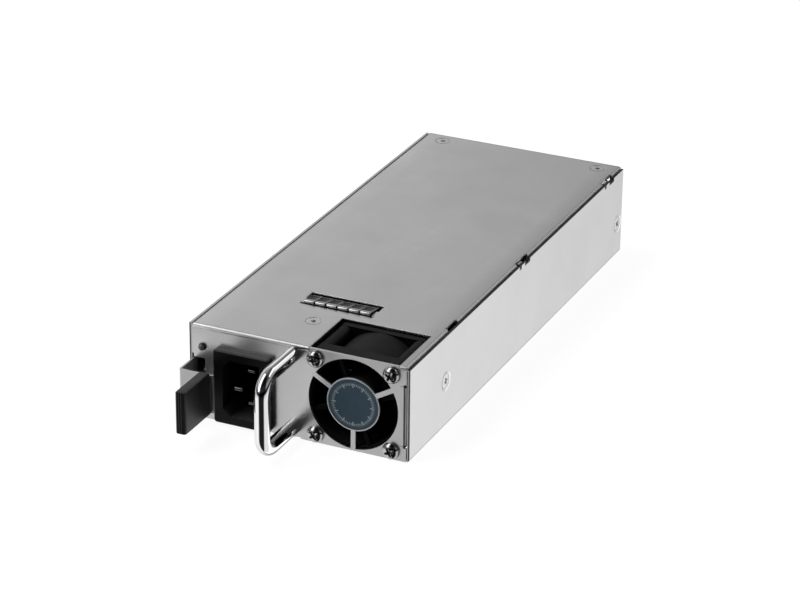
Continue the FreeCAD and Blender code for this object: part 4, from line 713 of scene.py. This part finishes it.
FX, FZ = 23.3, 19.7
sh = Shell()
hub = [(0.4, 20.98), (4.0, 20.98), (7.6, 20.96), (8.9, 20.75), (9.6, 20.25), (9.88, 19.5), (9.9, 18.6), (9.9, 12.0), (9.9, 5.6),
       (9.86, 5.3), (9.7, 5.21), (9.2, 5.21), (9.02, 5.4), (9.0, 6.0), (9.0, 12.0), (9.0, 19.62), (5.0, 19.68), (1.06, 19.7),
       (1.06, 20.4), (0.4, 20.4)]
sh.loft([[P(FX + r * math.cos(2 * math.pi * j / 84), y, FZ + r * math.sin(2 * math.pi * j / 84)) for j in range(84)]
         for r, y in hub])
for k in range(7):
    a0 = 2 * math.pi * k / 7
    rows = []
    for i in range(13):
        f = i / 12.0
        r = 9.7 + (17.45 - 9.7) * f
        pitch = math.radians(46.0 - 17.0 * f)                 # blade angle from the plane of rotation
        chord = 12.5 + 2.6 * f
        sweep = math.radians(16.0 * f * f - 3.0)
        row = []
        n = 12
        for side in (1, -1):
            for q in range(n):
                c = (q / n if side == 1 else 1 - q / n)
                cam_h = 0.085 * chord * 4 * c * (1 - c)
                th = 0.5 * (1.25 - 0.45 * f) * (math.sqrt(max(0.0, 4 * c * (1 - c))) ** 0.7 + 0.06)
                s_ = (c - 0.5) * chord
                h = cam_h + side * th - 0.05 * chord
                tan_ = s_ * math.cos(pitch) - h * math.sin(pitch)
                ax = s_ * math.sin(pitch) + h * math.cos(pitch)
                y = min(19.6, max(5.5, 12.4 + ax))
                ang = a0 + sweep + tan_ / r
                row.append(P(FX + r * math.cos(ang), y, FZ + r * math.sin(ang)))
        rows.append(row)
    sh.loft(rows)
sh.make("fan_rotor_moulding", "fan_rotor", MAT["fan_plastic"], ("fan_blades",), 40.0)

# ---------------------------------------------------------------------- stage

floor_mesh = bpy.data.meshes.new("studio_floor")
floor_mesh.from_pydata([(-6, -6, -0.0002), (6, -6, -0.0002), (6, 6, -0.0002), (-6, 6, -0.0002)], [], [(0, 1, 2, 3)])
floor = bpy.data.objects.new("studio_floor", floor_mesh)
scene.collection.objects.link(floor)
ft = Tree("pale_floor")
ft.val(color=(0.5, 0.5, 0.5), rough=0.9, spec=0.1)
ft.color(ft.mix(ft.noise(6.0, 2.0), (0.15, 0.15, 0.15), (0.17, 0.17, 0.17)))
ft.bsdf.inputs["Emission Color"].default_value = (1, 1, 1, 1)
ft.bsdf.inputs["Emission Strength"].default_value = 0.93
floor_mesh.materials.append(ft.m)
# the metal reflects the studio round it, below the horizon too, and not the lit floor
floor.visible_glossy = False
floor.visible_diffuse = False
floor.visible_shadow = False

world = bpy.data.worlds.new("studio")
scene.world = world
world.use_nodes = True
wt = world.node_tree
wt.nodes.clear()


def wn(kind, **props):
    node = wt.nodes.new("ShaderNode" + kind)
    for k, v in props.items():
        setattr(node, k, v)
    return node


def wmath(op, *args):
    m = wn("Math", operation=op)
    for i, v in enumerate(args):
        if isinstance(v, (int, float)):
            m.inputs[i].default_value = v
        else:
            wt.links.new(v, m.inputs[i])
    return m.outputs[0]


def wramp(src, stops, lo, hi):
    """Grey level by position: stops are (degrees, level)."""
    f = wmath("DIVIDE", wmath("SUBTRACT", src, lo), hi - lo)
    r = wn("ValToRGB")
    wt.links.new(f, r.inputs["Fac"])
    el = r.color_ramp.elements
    stops = sorted(stops)
    while len(el) < len(stops):
        el.new(0.5)
    for e, (d, v) in zip(el, stops):
        e.position = (d - lo) / (hi - lo)
        e.color = (v / 2.0, v / 2.0, v / 2.0, 1)
    sep = wn("SeparateColor")
    wt.links.new(r.outputs["Color"], sep.inputs[0])
    return wmath("MULTIPLY", sep.outputs[0], 2.0)


tc = wn("TexCoord")
sx = wn("SeparateXYZ")
wt.links.new(tc.outputs["Generated"], sx.inputs[0])
X, Y, Z = sx.outputs["X"], sx.outputs["Y"], sx.outputs["Z"]
az = wmath("MULTIPLY", wmath("ARCTAN2", wmath("MULTIPLY", X, -1.0), Y), 180.0 / math.pi)   # 0 behind, 90 left
elv = wmath("MULTIPLY", wmath("ARCSINE", Z), 180.0 / math.pi)
upper = wramp(az, [(-180, 0.02), (-122, 0.02), (-108, 0.3), (-60, 0.30), (-40, 0.50), (-27, 1.02), (-14, 0.44), (0, 0.25), (12, 0.37),
                   (20, 0.57), (24, 0.78), (29, 0.88), (38, 0.88), (60, 0.8), (100, 0.6), (150, 0.5), (158, 0.3), (168, 0.02), (180, 0.02)],
              -180.0, 180.0)
lower = wramp(az, [(-180, 0.015), (-131, 0.015), (-119, 0.9), (-60, 0.95), (-40, 1.6), (-32, 1.72), (-26, 1.38), (-22, 0.82), (-17, 0.38), (-8, 0.40), (0, 0.52), (30, 0.8),
                   (60, 0.95), (100, 1.0), (142, 1.12), (150, 0.98), (156, 0.60), (164, 0.02), (180, 0.015)], -180.0, 180.0)
e_up = wramp(elv, [(0, 0.03), (8, 0.04), (13, 0.09), (16, 0.40), (19, 0.88), (22, 1.12), (26, 1.04), (34, 0.82), (50, 0.20), (90, 0.12)], 0.0, 90.0)
e_far = wramp(elv, [(0, 0.03), (8, 0.05), (12, 0.25), (16, 1.00), (20, 1.34), (23, 1.14), (25, 0.93), (30, 0.70), (38, 0.50), (60, 0.30), (90, 0.15)], 0.0, 90.0)
far = wmath("MINIMUM", wmath("MAXIMUM", wmath("DIVIDE", wmath("ADD", az, 2.0), 8.0), 0.0), 1.0)
e_up = wmath("ADD", wmath("MULTIPLY", e_up, wmath("SUBTRACT", 1.0, far)), wmath("MULTIPLY", e_far, far))
e_lo = wramp(elv, [(-90, 0.9), (-40, 0.95), (-24, 1.0), (-14, 1.0), (-6, 0.7), (0, 0.3)], -90.0, 0.0)
is_up = wmath("GREATER_THAN", Z, 0.0)
val = wmath("ADD", wmath("MULTIPLY", wmath("MULTIPLY", upper, e_up), is_up),
            wmath("MULTIPLY", wmath("MULTIPLY", lower, e_lo), wmath("SUBTRACT", 1.0, is_up)))


def softbox(end_a, end_b, across, half_width, spare, level, soft=0.05):
    """A long soft box in the sky from one direction to another; across shifts it sideways (all as tangents)."""
    a, b = Vector(end_a).normalized(), Vector(end_b).normalized()
    c = (a + b).normalized()
    u = (b - a).normalized()
    v = c.cross(u)
    half = math.tan(a.angle(b) / 2.0) + spare

    def dot(w):
        return wmath("ADD", wmath("ADD", wmath("MULTIPLY", X, w.x), wmath("MULTIPLY", Y, w.y)), wmath("MULTIPLY", Z, w.z))

    front = wmath("MAXIMUM", dot(c), 0.05)
    lu = wmath("ABSOLUTE", wmath("DIVIDE", dot(u), front))
    lv = wmath("ABSOLUTE", wmath("SUBTRACT", wmath("DIVIDE", dot(v), front), across))

    def edge(x, lim):
        r = wn("MapRange", interpolation_type="SMOOTHSTEP")
        wt.links.new(x, r.inputs["Value"])
        r.inputs["From Min"].default_value = lim - soft
        r.inputs["From Max"].default_value = lim + soft
        r.inputs["To Min"].default_value = 1.0
        r.inputs["To Max"].default_value = 0.0
        return r.outputs["Result"]

    return wmath("MULTIPLY", wmath("MULTIPLY", edge(lu, half), edge(lv, half_width)), level)


box_l = softbox((-0.54, -0.79, 0.28), (-0.380, 0.08, 0.91), 0.0, 0.22, 0.04, 2.2)
box_r = softbox((0.17, 0.80, 0.58), (0.62, 0.15, 0.77), 0.0, 0.17, 0.05, 1.3)
box_side = softbox((-0.62, 0.78, 0.04), (-0.93, 0.36, 0.04), 0.0, 0.20, 0.05, 0.26, 0.09)
val = wmath("MAXIMUM", wmath("MAXIMUM", val, box_side), wmath("MAXIMUM", box_l, box_r))
comb = wn("CombineColor")
for i in range(3):
    wt.links.new(val, comb.inputs[i])
bg = wn("Background")
wt.links.new(comb.outputs[0], bg.inputs["Color"])
bg.inputs["Strength"].default_value = 1.0
wo = wn("OutputWorld")
wt.links.new(bg.outputs[0], wo.inputs[0])


def area(name, loc, target, size, power, size_y=None):
    d = bpy.data.lights.new(name, "AREA")
    d.shape = "RECTANGLE" if size_y else "SQUARE"
    d.size = size
    if size_y:
        d.size_y = size_y
    d.energy = power
    o = bpy.data.objects.new(name, d)
    scene.collection.objects.link(o)
    o.location = loc
    o.rotation_euler = (Vector(target) - Vector(loc)).to_track_quat("-Z", "Y").to_euler()
    o.visible_camera = False
    return o


key = area("key_softbox", (-0.44, -0.42, 0.98), (-0.44, -0.42, 0.0), 0.42, 4.0, 1.1)
key.visible_glossy = False

# --------------------------------------------------------------------- camera

AZ, EL, ROLL = math.radians(24.645), math.radians(24.715), math.radians(0.544)
cam = bpy.data.cameras.new("camera")
cam.sensor_width = 36.0
cam.lens = 3022.72 / 800.0 * 36.0
cam.clip_start = 0.01
cam.clip_end = 50.0
cam_obj = bpy.data.objects.new("camera", cam)
scene.collection.objects.link(cam_obj)
back = Vector((math.sin(AZ) * math.cos(EL), -math.cos(AZ) * math.cos(EL), math.sin(EL)))
right = Vector((0, 0, 1)).cross(back).normalized()
up = back.cross(right)
r2 = right * math.cos(ROLL) + up * math.sin(ROLL)
u2 = -right * math.sin(ROLL) + up * math.cos(ROLL)
pos = Vector((0.46757, -1.03755, 0.53657))
cam_obj.matrix_world = Matrix(((r2.x, u2.x, back.x, pos.x), (r2.y, u2.y, back.y, pos.y),
                               (r2.z, u2.z, back.z, pos.z), (0, 0, 0, 1)))
scene.camera = cam_obj
scene.view_settings.view_transform = "Standard"
scene.view_settings.look = "None"
scene.view_settings.exposure = 0.0
